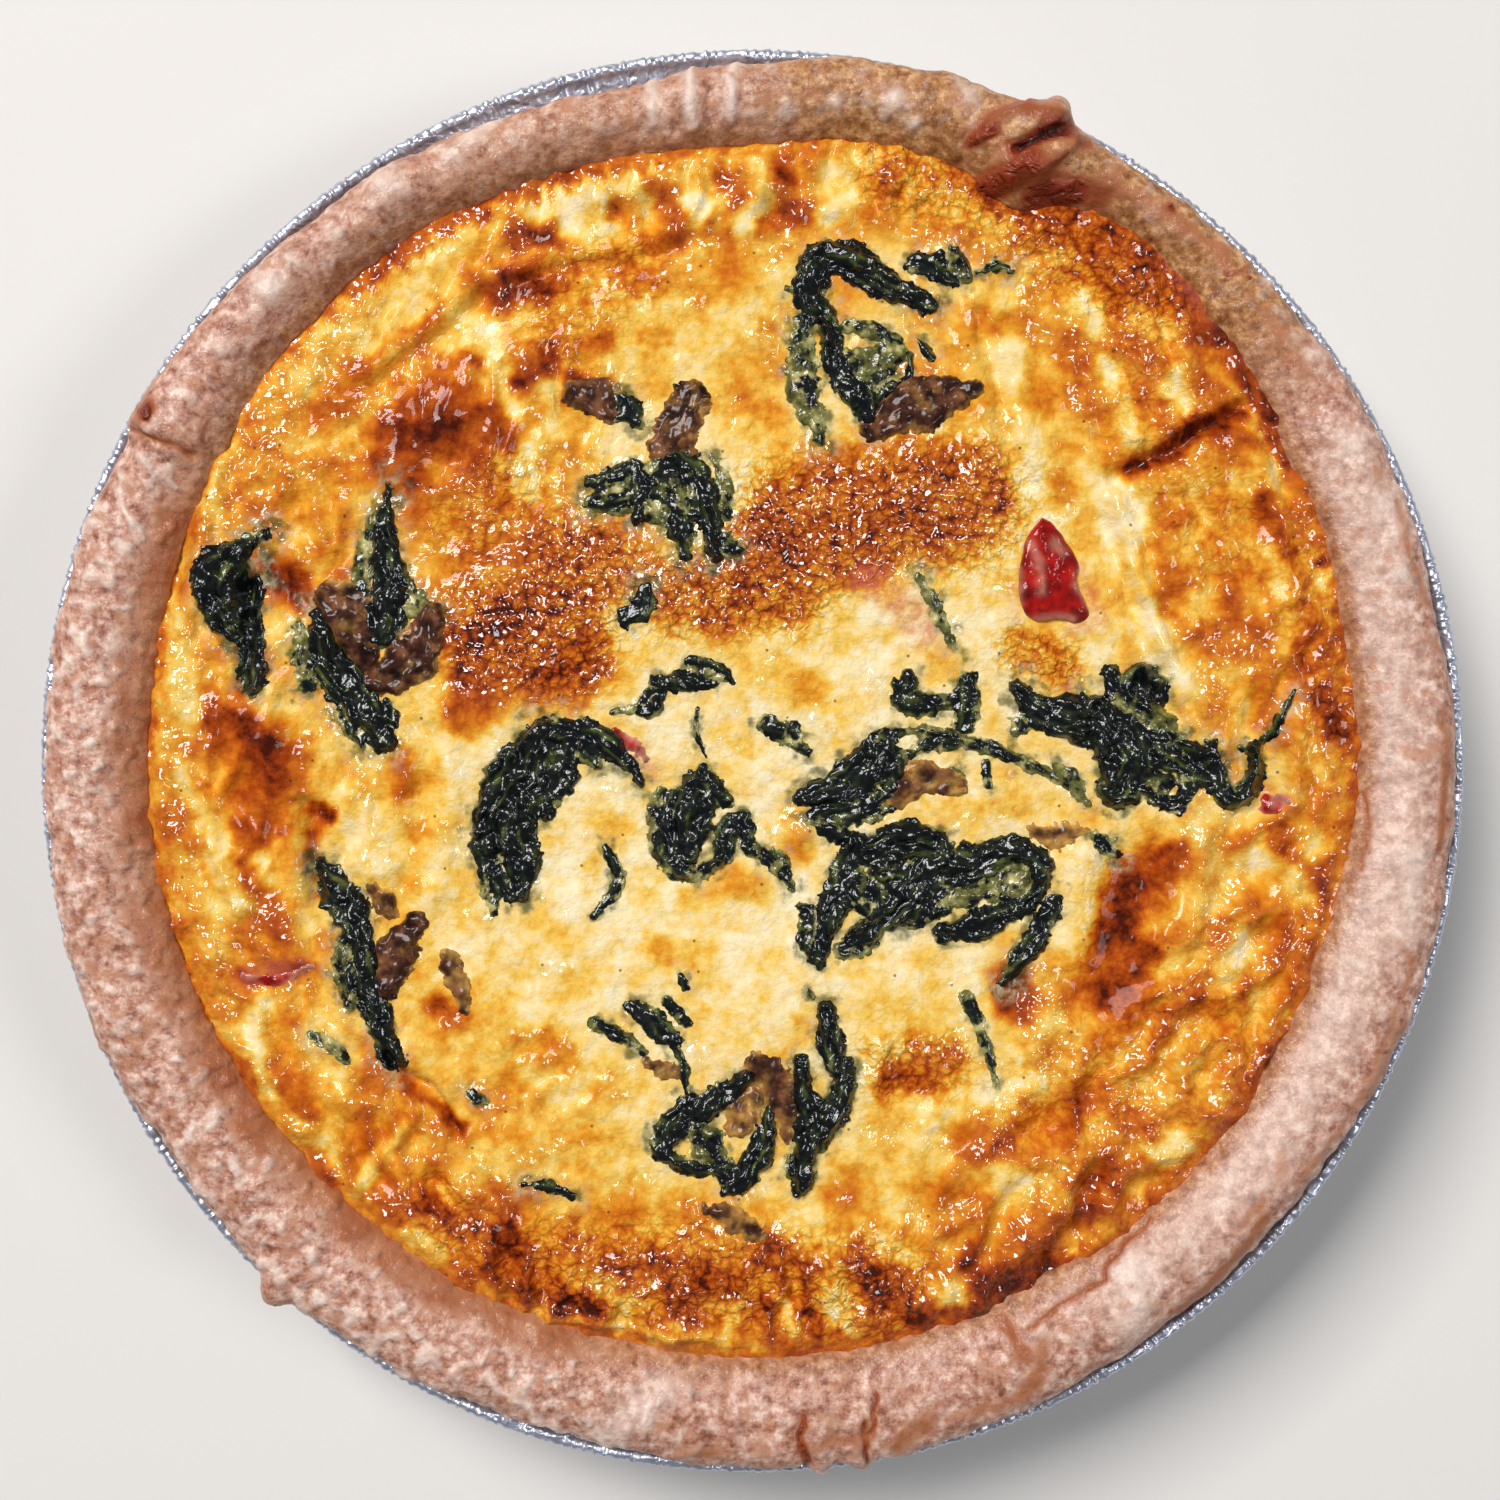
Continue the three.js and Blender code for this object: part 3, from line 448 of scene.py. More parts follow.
# The baked band against the rim: angle in degrees, level of brown and width in millimetres.
EDGE_BAKE = np.array([
    [0, 0.72, 3.0], [28, 0.70, 2.5], [36, 0.88, 3.0], [45, 0.76, 5.0], [60, 0.74, 5.0], [75, 0.56, 2.0],
    [90, 0.60, 2.0], [103, 0.72, 4.0], [128, 0.76, 4.5], [140, 0.66, 2.5], [150, 0.46, 1.5], [163, 0.54, 1.5],
    [176, 0.66, 2.5], [186, 0.60, 1.5], [194, 0.68, 2.5], [205, 0.56, 1.5], [210, 0.86, 2.0],
    [218, 0.56, 1.5], [235, 0.54, 2.0], [250, 0.66, 2.5], [262, 0.62, 3.0], [275, 0.74, 4.5],
    [288, 0.74, 4.0], [297, 0.98, 5.0], [305, 0.70, 3.0], [320, 0.70, 4.0], [334, 0.72, 3.5],
    [345, 0.60, 3.0], [360, 0.72, 3.0],
])


# Where broad sway is cut from its noise, for X and for Y.
SWAY_LEVELS = (3.0, 9.0)


def rim_gap(x, y):
    """How far inside the rolled rim each place is."""
    return rim_at(np.arctan2(y, x))[1] - np.hypot(x, y)


def rim_streaks(x, y):
    """Streaks that run in from the rim, where the egg has clung to the crust and slid back."""
    around = EDGE_RADIUS / np.maximum(np.hypot(x, y), 1)
    return fractal(x * around, y * around, np.hypot(x, y) / 4, 1.8, 91, 2)


def rim_bake(x, y):
    """How brown the band and the thin line against the rim are, and 0 away from them."""
    gap, streaks = rim_gap(x, y), rim_streaks(x, y)
    turn = turn_at(x, y)
    level, width = (np.interp(turn, EDGE_BAKE[:, 0], EDGE_BAKE[:, column]) for column in (1, 2))
    width = width * np.clip(1 + 1.1 * streaks, 0.4, 2)
    band = level * smooth(1.5, 0.5, (gap + 0.9 * flat_fractal(x, y, 4, 14, 2, 5)) / width)
    line = 0.76 * smooth(1.3, 0.4, gap + 0.3 * streaks)
    return np.maximum(band, line)


def browning_at(x, y):
    """How brown the filling's skin is, from 0 for cream to 1 for nearly black, with a few strokes of painted
    shade and painted highlight.
    """
    broad, fine = sway(x, y, 2.0, 8, 11, SWAY_LEVELS), sway(x, y, 0.8, 2.4, 16)
    outer = smooth(35, 80, np.hypot(x, y))
    field = 0.17 + 0.20 * outer + 0.13 * flat_fractal(x, y, 11, 13, 3)
    field = paint(field, x + broad[0] + fine[0], y + broad[1] + fine[1], BROWNING)
    field = field + (0.04 + 0.07 * outer) * fold_field(x, y)
    field = np.maximum(field, rim_bake(x, y))
    field = field + (0.06 + 0.06 * outer) * flat_fractal(x, y, 4.5, 15, 4, 1)
    return np.clip(field, 0.0, 1.0)


# Where the skin is pebbled with fine browned beads: path, half width, level, strength.
PEBBLED = [
    ([(-40, 20), (-30, 18), (-26, 30)], 9, 1.0, 1.0), ([(-12, 26), (6, 27)], 7, 1.0, 1.0),
    ([(4, 37), (34, 40)], 10, 1.0, 1.0), ([(-44, 36), (-38, 42)], 6, 0.6, 1.0),
    ([(46, 83), (62, 72)], 7, 0.8, 1.0), ([(60, 58), (74, 34)], 8, 0.35, 1.0),
    ([(-30, -80), (20, -82)], 8, 0.8, 1.0), ([(42, 17), (48, 15)], 4, 0.9, 1.0),
    ([(20, -48), (30, -48)], 5, 0.7, 1.0), ([(50, -56), (70, -42)], 12, 0.35, 1.0),
    ([(86, 30), (90, 5)], 5, 0.4, 1.0), ([(22, 92), (36, 88)], 6, 0.8, 1.0),
    ([(-20, 76), (-30, 70)], 7, 0.5, 1.0), ([(58, -22), (56, -34)], 7, 0.25, 1.0),
    ([(-40, -76), (-50, -70)], 5, 0.6, 1.0),
]

# Where the skin is glossy, or dull: path, half width, level, strength.
GLAZED = [
    ([(61, -15), (58, -24), (55, -38)], 7, 0.0, 0.98), ([(46, -38), (48, -50)], 4, 1.0, 0.9),
    ([(70, -8), (76, -30)], 5, 1.0, 0.8), ([(66, -44), (58, -62)], 5, 1.0, 0.9),
    ([(52, -66), (34, -82)], 5, 1.0, 0.8), ([(-54, 50), (-42, 54)], 6, 0.35, 0.8),
    ([(-40, 20), (-28, 30)], 9, 0.88, 0.9), ([(-10, 28), (32, 40)], 9, 0.76, 0.9),
    ([(-14, -28), (16, -34)], 12, 0.2, 0.8), ([(38, 12), (64, 34)], 8, 0.35, 0.8),
    ([(-92, 20), (-92, -16), (-84, -40)], 5, 1.0, 0.9), ([(-86, 30), (-80, 50), (-66, 66)], 5, 0.9, 0.8),
    ([(74, 44), (84, 20)], 6, 0.3, 0.7), ([(-80, 4), (-75, -14)], 5, 0.15, 0.9),
]


# Where pepper has stained the egg: path, half width, level, strength.
STAINED = [
    ([(18, 28), (23, 25), (27, 20)], 2.6, 0.75, 1.0), ([(51, 30), (54.5, 22), (50, 20.4)], 1.3, 0.6, 1.0),
    ([(40.6, 27), (41, 22)], 1.0, 0.4, 1.0), ([(-18, 1), (-16, -2)], 1.6, 0.6, 1.0),
    ([(-79, -33.6), (-70, -32)], 1.6, 0.5, 1.0), ([(81, -7), (84, -5)], 1.4, 0.5, 1.0),
    ([(72, 70), (66, 78)], 2.0, 0.6, 1.0),
]


def glaze_at(x, y, brown):
    """How lumpy and glossy the glaze on the filling is, from 0 to 1."""
    patches = 0.22 + 0.55 * flat_fractal(x, y, 7, 92, 3, 7) + 0.35 * fold_field(x, y)
    patches = patches + 0.2 * smooth(0.3, 0.55, brown) - 0.3 * smooth(0.7, 0.9, brown)
    near_rim = smooth(7, 2, rim_gap(x, y))
    patches = np.maximum(patches, (0.5 + 0.45 * smooth(20, -40, x)) * near_rim)
    return np.clip(paint(patches, x, y, GLAZED) + 0.2 * flat_fractal(x, y, 4, 93, 2), 0, 1)


# Swells and hollows in the filling, the same broad forms as the solid's: path, half width, rise.
SWELLS = [
    ([(-50, 52), (-48, 50)], 13, 1.1), ([(-42, 16), (-18, 34)], 15, 0.9), ([(2, 34), (34, 42)], 13, 1.1),
    ([(-34, 66), (-4, 76)], 9, 0.8), ([(66, 70), (80, 40)], 12, 1.0), ([(84, 22), (84, -6)], 9, 0.8),
    ([(44, -68), (68, -50)], 13, 1.0), ([(60, -18), (55, -34)], 6, -1.7), ([(-26, -82), (18, -78)], 10, 0.7),
    ([(-80, 14), (-79, -22)], 8, 1.1), ([(-70, -46), (-66, -58)], 12, 0.6),
    ([(-30, -18), (30, -12)], 24, -0.6), ([(42, 82), (44, 60), (54, 34)], 5, -0.8),
    ([(-64, 12), (-62, -22)], 5, -0.8), ([(-46, -70), (-24, -54)], 11, 0.5), ([(2, -38), (22, -36)], 11, 0.5),
]

# Folds, steps and creases that the solid leaves out: path, half width, rise.
FOLDS = [
    ([(-62, 60), (-50, 68), (-43, 75), (-33, 79), (-20, 80), (-8, 84), (2, 83)], 1.6, 0.7),
    ([(-60, 58.5), (-49, 66), (-41, 73.5), (-32, 77), (-20, 78), (-9, 81.5)], 1.3, -0.6),
    ([(-21, 85)], 1.8, -1.0), ([(-14, 87)], 2.0, -0.7), ([(-4, 90)], 1.8, -0.8), ([(5, 93)], 2.0, -0.6),
    ([(3.5, 85)], 2.6, -0.7), ([(-8.5, 87)], 2.2, 0.9), ([(1.5, 89)], 2.0, 1.0), ([(-24, 87)], 3.2, 0.8),
    ([(-18, 91)], 2.2, 0.6), ([(14, 91)], 3.0, 0.5), ([(23, 90)], 3.0, 0.5),
    ([(-56, 46), (-55, 52), (-48, 56), (-41, 52)], 4.0, 0.9), ([(-47, 48)], 2.6, -0.5),
    ([(-45, 62)], 2.6, 0.6), ([(-34.5, 76)], 3.6, 0.6), ([(-62, 52), (-59, 42)], 1.6, -0.9),
    ([(-40, 47), (-33, 50)], 2.0, 0.5), ([(-37, 66), (-33, 58)], 2.2, 0.4),
    ([(-84, 46), (-86, 36), (-87, 24)], 1.8, 0.9), ([(-80, 50), (-82, 40)], 2.0, -0.5),
    ([(-72, 44), (-75, 36)], 2.0, 0.5), ([(-68, 34), (-64, 40)], 3.0, 0.6), ([(-75, 28)], 3.0, -1.1),
    ([(-79, 27), (-79, 12)], 1.6, -2.2), ([(-70, -7), (-67, -8.5)], 1.1, -1.6),
    ([(-69, -10), (-68, -21)], 1.4, -1.6), ([(-88, -2), (-84, -12), (-80, -23)], 1.5, 0.9),
    ([(-90, -6), (-86, -15), (-83, -24)], 1.4, -0.4), ([(-92, 12), (-92, 2), (-93, -8)], 1.6, 0.5),
    ([(-77, 2)], 5.5, 0.8), ([(-72, -12), (-72, -30)], 2.4, 0.7), ([(-62, -5), (-60, -16)], 2.6, 0.8),
    ([(-55, -2)], 3.0, 0.5), ([(-51, 4), (-52, -10), (-56, -22)], 1.8, -0.7),
    ([(-48, 8), (-47, -4), (-50, -20)], 2.0, 0.5), ([(-76, -34)], 1.6, -0.5),
    ([(-77, -37), (-77, -50)], 1.6, 0.7), ([(-72, -41)], 2.6, 0.4), ([(-66, -40), (-64, -52)], 2.2, 0.5),
    ([(-57, -46), (-51, -51), (-46, -59)], 0.9, -1.5), ([(-54, -44), (-48, -52)], 2.0, 0.6),
    ([(-53, -56), (-62, -67)], 0.9, 0.7), ([(-70, -52)], 3.0, 0.5), ([(-49, -39)], 2.8, -0.6),
    ([(-44, -36), (-40, -44)], 3.2, 0.6), ([(-39, -75)], 2.4, 0.6), ([(-47, -70)], 3.2, 0.6),
    ([(-35, -82)], 3.0, 0.5), ([(-33, -86.5), (-20, -89), (-5, -90)], 0.9, 0.5),
    ([(13, -79), (14, -90)], 1.8, 0.8), ([(18, -81)], 3.4, 0.5), ([(10, -86)], 1.8, -0.5),
    ([(6, -88)], 1.4, 0.5), ([(30, -83)], 2.4, 0.8), ([(36, -80), (37, -85)], 1.2, 0.9),
    ([(40, -82), (46, -80)], 2.4, -1.0), ([(-6, -70), (1, -72)], 1.0, 0.5), ([(-12, -90)], 1.6, 0.7),
    ([(-10, -81)], 2.6, 0.5), ([(35, 70), (38, 60), (40, 50), (43, 43)], 1.3, -0.9),
    ([(33, 68), (36, 58), (37, 47)], 1.8, 0.4), ([(41, 64), (43, 54), (47, 44)], 2.2, 0.6),
    ([(51, 65), (54, 55), (57, 47)], 1.6, -0.6), ([(56, 63), (60, 51)], 1.8, 0.6),
    ([(62, 63), (64, 55)], 1.4, -0.4), ([(66, 61), (68, 54)], 1.8, 0.6),
    ([(57, 44.5), (63, 47.5), (71, 52), (77, 55)], 1.3, -1.5), ([(60, 50), (70, 55)], 2.4, 0.5),
    ([(62, 43), (72, 46)], 2.4, 0.6), ([(57, 42), (59, 33), (63, 22), (67, 10)], 1.1, 0.7),
    ([(55, 38), (58, 28), (61, 18), (65, 8)], 1.0, -0.7), ([(60, 36), (62, 27), (66, 16), (70, 8)], 0.9, 0.5),
    ([(80, 52), (86, 36), (90, 22)], 1.4, -0.7), ([(78, 50), (83, 36), (85, 20)], 1.6, 0.7),
    ([(83, 13), (80, 4), (80, -4)], 1.4, -1.0), ([(86, 6), (84, -5)], 2.4, 0.8), ([(82, -8)], 1.6, 0.7),
    ([(78, -14), (86, -18)], 2.2, 0.6), ([(76, -8), (72, -26)], 2.4, -0.5),
    ([(71, -12), (68, -28)], 1.8, 0.8), ([(77, -24), (73, -38)], 1.8, 0.7),
    ([(66, -14), (63, -22), (62, -36)], 1.6, 0.6), ([(52, -15), (51, -30)], 2.6, 0.7),
    ([(41, -36)], 3.2, -1.2), ([(44, -45), (47, -38)], 1.6, 0.8), ([(50, -43), (50, -49)], 2.2, 1.0),
    ([(54, -50), (46, -57), (40, -59)], 2.0, -0.9), ([(69, -46), (65, -54)], 2.6, 0.9),
    ([(62, -60), (68, -57)], 2.2, 0.6), ([(60, -55)], 2.2, -0.7), ([(51, -60), (48, -70)], 2.0, 1.0),
    ([(54, -64), (51, -73)], 1.6, -0.9), ([(56, -70), (57, -72)], 1.4, 0.8),
    ([(37, -64), (42, -66)], 3.0, 0.6), ([(37, -74)], 2.8, 0.5), ([(29, -54), (26, -61)], 1.8, 0.8),
    ([(20, -44), (19, -50)], 1.8, 0.7), ([(24, -50)], 3.0, -0.5), ([(31, -65), (36, -69)], 2.4, 0.5),
    ([(46, 16)], 3.4, 0.4), ([(24, 25)], 4.0, 0.4), ([(6, 13)], 4.0, 0.3), ([(-2, -19)], 3.6, 0.4),
    ([(8, -11)], 2.2, 0.9), ([(39, -5)], 4.0, 0.5), ([(73.5, 2.5)], 1.9, 1.4), ([(78, 3)], 1.6, 1.1),
]


# Where the skin has run into rows of small folds: path, half width, the way the folds run in degrees,
# their spacing and their rise.
FOLD_ZONES = [
    ([(40, -70), (62, -52), (76, -36)], 13, 56, 6.4, 1.3),
    ([(60, 62), (66, 36), (68, 12)], 10, -74, 4.4, 0.8),
    ([(50, 82), (74, 62), (86, 38)], 8, -52, 3.6, 0.6),
    ([(84, 20), (84, -30)], 8, 82, 5.2, 0.9),
    ([(72, -12), (70, -34)], 8, 72, 5.6, 1.0),
    ([(-44, -84), (0, -84), (40, -80)], 8, 88, 5.4, 1.0),
    ([(-72, -36), (-60, -62), (-46, -70)], 11, -58, 4.6, 0.8),
    ([(-34, 88), (-4, 89), (22, 90)], 6, 84, 4.4, 0.9),
    ([(-80, 44), (-62, 62), (-44, 76)], 9, 48, 4.6, 0.5),
    ([(-46, 46), (-32, 56), (-28, 40)], 10, 76, 4.4, 0.8),
    ([(-58, 2), (-56, -24)], 8, 66, 4.6, 0.7),
    ([(-82, 30), (-84, -26)], 10, 84, 5.0, 0.7),
    ([(-74, 40), (-66, 30)], 9, 100, 4.4, 0.6),
    ([(-40, -60), (-26, -44)], 10, 40, 5.0, 0.6),
    ([(24, 60), (36, 76)], 9, -60, 5.0, 0.5),
]


def fold_field(x, y):
    """Rows of small folds in their zones, about -1 to 1."""
    total = np.zeros(x.shape)
    for number, (points, width, turn, spacing, rise) in enumerate(FOLD_ZONES):
        here = near_path(x, y, points, 2.2 * width)
        px, py = x[here], y[here]
        cover = smooth(1.5 * width, 0.6 * width, distance_to_path(px, py, points))
        c, s = math.cos(math.radians(turn)), math.sin(math.radians(turn))
        bend = 2.6 * flat_fractal(px, py, 9, 81, 2)
        along, across = px * c + py * s, py * c - px * s + bend
        rows = noise(across / spacing, along / (2.2 * spacing), px * 0 + number, 83 + number)
        total[here] += rise * cover * (1 - 3.4 * np.abs(rows))
    return total


def rim_at(angle):
    """(outer radius, inner radius, crown height) of the rolled rim at an angle in radians."""
    turn = np.mod(np.degrees(angle), 360)
    after = np.clip(np.searchsorted(RIM[:, 0], turn, side="right"), 1, len(RIM) - 1)
    low, high = RIM[after - 1], RIM[after]
    t = (turn - low[..., 0]) / (high[..., 0] - low[..., 0])
    t = (t * t * (3 - 2 * t))[..., None]
    outer, inner, crown = np.moveaxis(low[..., 1:] + (high[..., 1:] - low[..., 1:]) * t, -1, 0)
    for middle, half, out, up, inward in RIM_BUMPS:
        away = np.clip(np.abs(turn - middle) / half, 0, 1)
        bump = 0.5 + 0.5 * np.cos(np.pi * away)
        outer = outer + out * bump
        crown = crown + up * bump
        inner = inner + inward * bump
    return outer, inner, CROWN_HEIGHT + crown


def filling_height(x, y):
    """The height of the filling's skin, which swells beside the rim and dips where it meets it."""
    across, along = sway(x, y, 1.0, 9, 21, SWAY_LEVELS)
    height = raise_along(np.full(x.shape, FILLING_LEVEL), x, y, SWELLS)
    height = height + 1.3 * raise_along(np.zeros(x.shape), x + across, y + along, FOLDS)
    outer = smooth(40, 80, np.hypot(x, y))
    height = height + (0.35 + 0.6 * outer) * fold_field(x, y)
    height = height + 0.4 * flat_fractal(x, y, 12, 23, 2, 2)
    height = height + (0.18 + 0.14 * outer) * flat_fractal(x, y, 4, 24, 3, 4)
    height = height + (0.04 + 0.07 * outer) * flat_fractal(x, y, 1.8, 25, 2, 4)
    gap = rim_gap(x, y)
    height = height + 0.35 * smooth(6.0, 1.0, gap) * rim_streaks(x, y)
    swell = 0.5 * np.exp(-(((gap - 5.5) / 2.5) ** 2))
    return height + (0.6 + 0.4 * smooth(20, -40, x)) * (swell - smooth(3.6, 0.3, gap))


# ---- meshes ----

def mesh_piece(name, vertices, faces, attributes=None):
    """A smooth mesh object from places in millimetres, with a number at each vertex for each attribute."""
    mesh = bpy.data.meshes.new(name)
    faces = faces.tolist() if isinstance(faces, np.ndarray) else faces
    mesh.from_pydata((np.asarray(vertices) * MM).tolist(), [], faces)
    for key, values in (attributes or {}).items():
        layer = mesh.attributes.new(key, "FLOAT", "POINT")
        layer.data.foreach_set("value", np.asarray(values, dtype=np.float32))
    mesh.shade_smooth()
    mesh.validate()
    piece = bpy.data.objects.new(name, mesh)
    bpy.context.collection.objects.link(piece)
    return piece


def finish_piece(piece, slot, material, *nodes):
    """Gives a piece its material, rides it on the one body and hides the nodes it stands for; the slot is not
    used.
    """
    piece.data.materials.append(material)
    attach(piece, "root")
    if nodes:
        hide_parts(*nodes)


def ring_faces(rings, around):
    """The quads between rings of equal count."""
    i = np.arange(rings - 1)[:, None] * around
    j = np.arange(around)[None, :]
    k = (j + 1) % around
    return np.stack([i + j, i + k, i + around + k, i + around + j], axis=-1).reshape(-1, 4)


def fan_faces(centre, ring_start, around, flip):
    """The triangles between a ring and one vertex in its middle."""
    j = np.arange(around)
    k = (j + 1) % around
    middle = np.full(around, centre)
    order = (middle, ring_start + k, ring_start + j) if flip else (middle, ring_start + j, ring_start + k)
    return np.stack(order, axis=-1)


def ring_stack(pairs, around):
    """Rings of (radius, height) all the way round, from pairs in which either may be one number."""
    ones = np.ones(around)
    return np.array([np.stack([radius * ones, height * ones], axis=-1) for radius, height in pairs])


def round_places(rings, angle):
    """The place of each (radius, height) in the rings."""
    radius, height = rings[..., 0], rings[..., 1]
    return np.stack([radius * np.cos(angle), radius * np.sin(angle), height], axis=-1)


def closed_rings(points, first_height, last_height):
    """Vertices and faces of rings (rings, around, 3), closed by a fan to the axis at either end."""
    count, around = points.shape[:2]
    vertices = np.concatenate([points.reshape(-1, 3), [[0, 0, first_height], [0, 0, last_height]]])
    first_pole = count * around
    faces = ring_faces(count, around).tolist()
    faces += fan_faces(first_pole, 0, around, True).tolist()
    faces += fan_faces(first_pole + 1, first_pole - around, around, False).tolist()
    return vertices, faces


def cell_corners(grid):
    """The values at the four corners of every cell of a grid, in order round it."""
    return grid[:-1, :-1], grid[:-1, 1:], grid[1:, 1:], grid[1:, :-1]


def curve_between(knots, samples):
    """A Catmull-Rom curve through the knots, at evenly spread samples."""
    count = len(knots)
    t = np.linspace(0, count - 1, samples)
    i = np.clip(t.astype(int), 0, count - 2)
    f = (t - i).reshape((-1,) + (1,) * (knots.ndim - 1))
    p0 = knots[np.maximum(i - 1, 0)]
    p1, p2 = knots[i], knots[i + 1]
    p3 = knots[np.minimum(i + 2, count - 1)]
    return 0.5 * (2 * p1 + (p2 - p0) * f + (2 * p0 - 5 * p1 + 4 * p2 - p3) * f**2
                  + (3 * p1 - p0 - 3 * p2 + p3) * f**3)


def grid_normals(points):
    """Unit normals of a closed-round grid (rings, around, 3)."""
    across = np.roll(points, -1, axis=1) - np.roll(points, 1, axis=1)
    along = np.gradient(points, axis=0)
    normal = np.cross(across, along)
    return normal / np.maximum(np.linalg.norm(normal, axis=-1, keepdims=True), 1e-9)


# ---- materials ----

def linear(red, green, blue):
    """A colour given as sRGB bytes, as the linear RGBA that shaders take."""
    channels = [value / 255 for value in (red, green, blue)]
    return [v / 12.92 if v <= 0.04045 else ((v + 0.055) / 1.055) ** 2.4 for v in channels] + [1.0]


class Shader:
    """Builds one material: adds nodes, and either links each socket or sets a constant on it.

    Patterns of a nearly level piece may be in two dimensions, which renders faster.
    """

    def __init__(self, name, dimensions="3D"):
        self.dimensions = dimensions
        self.material = bpy.data.materials.new(name)
        self.material.use_nodes = True
        self.tree = self.material.node_tree
        self.surface = self.tree.nodes["Principled BSDF"]
        self.place = None

    def put(self, socket, value):
        if isinstance(value, bpy.types.NodeSocket):
            self.tree.links.new(value, socket)
        else:
            socket.default_value = value

    def add(self, kind, inputs, output=0, **settings):
        node = self.tree.nodes.new(kind)
        for key, value in settings.items():
            setattr(node, key, value)
        for key, value in inputs.items():
            self.put(node.inputs[key], value)
        return node.outputs[output]

    def millimetres(self):
        """The place on the object, in millimetres."""
        if self.place is None:
            coordinates = self.add("ShaderNodeTexCoord", {}, output="Object")
            inputs = {0: coordinates, "Scale": 1000.0}
            self.place = self.add("ShaderNodeVectorMath", inputs, operation="SCALE")
        return self.place

    def vertex(self, name):
        """A number that the mesh holds at each vertex."""
        return self.add("ShaderNodeAttribute", {}, output="Fac", attribute_name=name)

    def noise(self, size, detail=4.0, roughness=0.55, distortion=0.0):
        """Noise from 0 to 1 with features of the given size in millimetres."""
        inputs = {"Vector": self.millimetres(), "Scale": 1.0 / size, "Detail": detail,
                  "Roughness": roughness, "Distortion": distortion}
        return self.add("ShaderNodeTexNoise", inputs, noise_dimensions=self.dimensions)

    def bent_place(self, amount, size):
        """The place in millimetres, pushed about by noise so that patterns on it lose their evenness."""
        inputs = {"Vector": self.millimetres(), "Scale": 1.0 / size, "Detail": 2.0}
        push = self.add("ShaderNodeTexNoise", inputs, output="Color", noise_dimensions=self.dimensions)
        centred = self.add("ShaderNodeVectorMath", {0: push, 1: (0.5, 0.5, 0.5)}, operation="SUBTRACT")
        inputs = {0: centred, 1: (2 * amount,) * 3, 2: self.millimetres()}
        return self.add("ShaderNodeVectorMath", inputs, operation="MULTIPLY_ADD")

    def cells(self, size, place=None):
        """The distance from the middles of cells of the given pitch in millimetres."""
        inputs = {"Vector": place or self.millimetres(), "Scale": 1.0 / size}
        return self.add("ShaderNodeTexVoronoi", inputs, output="Distance", voronoi_dimensions=self.dimensions)

    def creases(self, size):
        """Short winding ridges of the given width in millimetres, from 0 between them to 1 on top."""
        wave = self.centred(self.noise(2.2 * size, detail=3.0, roughness=0.5, distortion=0.6))
        return self.spread(self.math("ABSOLUTE", wave), 0.0, 0.16, 1.0, 0.0)

    def math(self, operation, a, b=0.0, clamp=False):
        return self.add("ShaderNodeMath", {0: a, 1: b}, operation=operation, use_clamp=clamp)

    def centred(self, noise):
        """Noise from 0 to 1, taken to -0.5 to 0.5."""
        return self.math("SUBTRACT", noise, 0.5)

    def plus(self, a, b):
        return self.math("ADD", a, b)

    def times(self, a, b):
        return self.math("MULTIPLY", a, b)

    def spread(self, value, low, high, to_low=0.0, to_high=1.0):
        """Takes low..high to to_low..to_high, eased, and holds it there beyond."""
        inputs = {"Value": value, "From Min": low, "From Max": high, "To Min": to_low, "To Max": to_high}
        return self.add("ShaderNodeMapRange", inputs, interpolation_type="SMOOTHSTEP")

    def mix(self, amount, first, second):
        """One colour turned into another by an amount from 0 to 1. Each is a socket or (red, green, blue)."""
        node = self.tree.nodes.new("ShaderNodeMix")
        node.data_type = "RGBA"
        self.put(node.inputs[0], amount)
        for number, colour in ((6, first), (7, second)):
            self.put(node.inputs[number], linear(*colour) if isinstance(colour, tuple) else colour)
        return node.outputs[2]

    def ramp(self, value, stops):
        """A colour for a value, through stops of (value, (red, green, blue))."""
        node = self.tree.nodes.new("ShaderNodeValToRGB")
        elements = node.color_ramp.elements
        while len(elements) < len(stops):
            elements.new(0.5)
        for element, (position, colour) in zip(elements, stops):
            element.position = position
            element.color = linear(*colour)
        self.put(node.inputs[0], value)
        return node.outputs[0]

    def bump(self, height_mm, *normals):
        """Tilts the surface by a height in millimetres, for each of the named normals."""
        tilted = self.add("ShaderNodeBump", {"Height": height_mm, "Distance": MM})
        for name in normals:
            self.set(name, tilted)

    def set(self, name, value):
        self.put(self.surface.inputs[name], value)

    def gloss(self, roughness, specular, coat, coat_roughness):
        """How the surface shines, and the wet coat over it."""
        self.set("Roughness", roughness)
        self.set("Specular IOR Level", specular)
        self.set("Coat Weight", coat)
        self.set("Coat Roughness", coat_roughness)


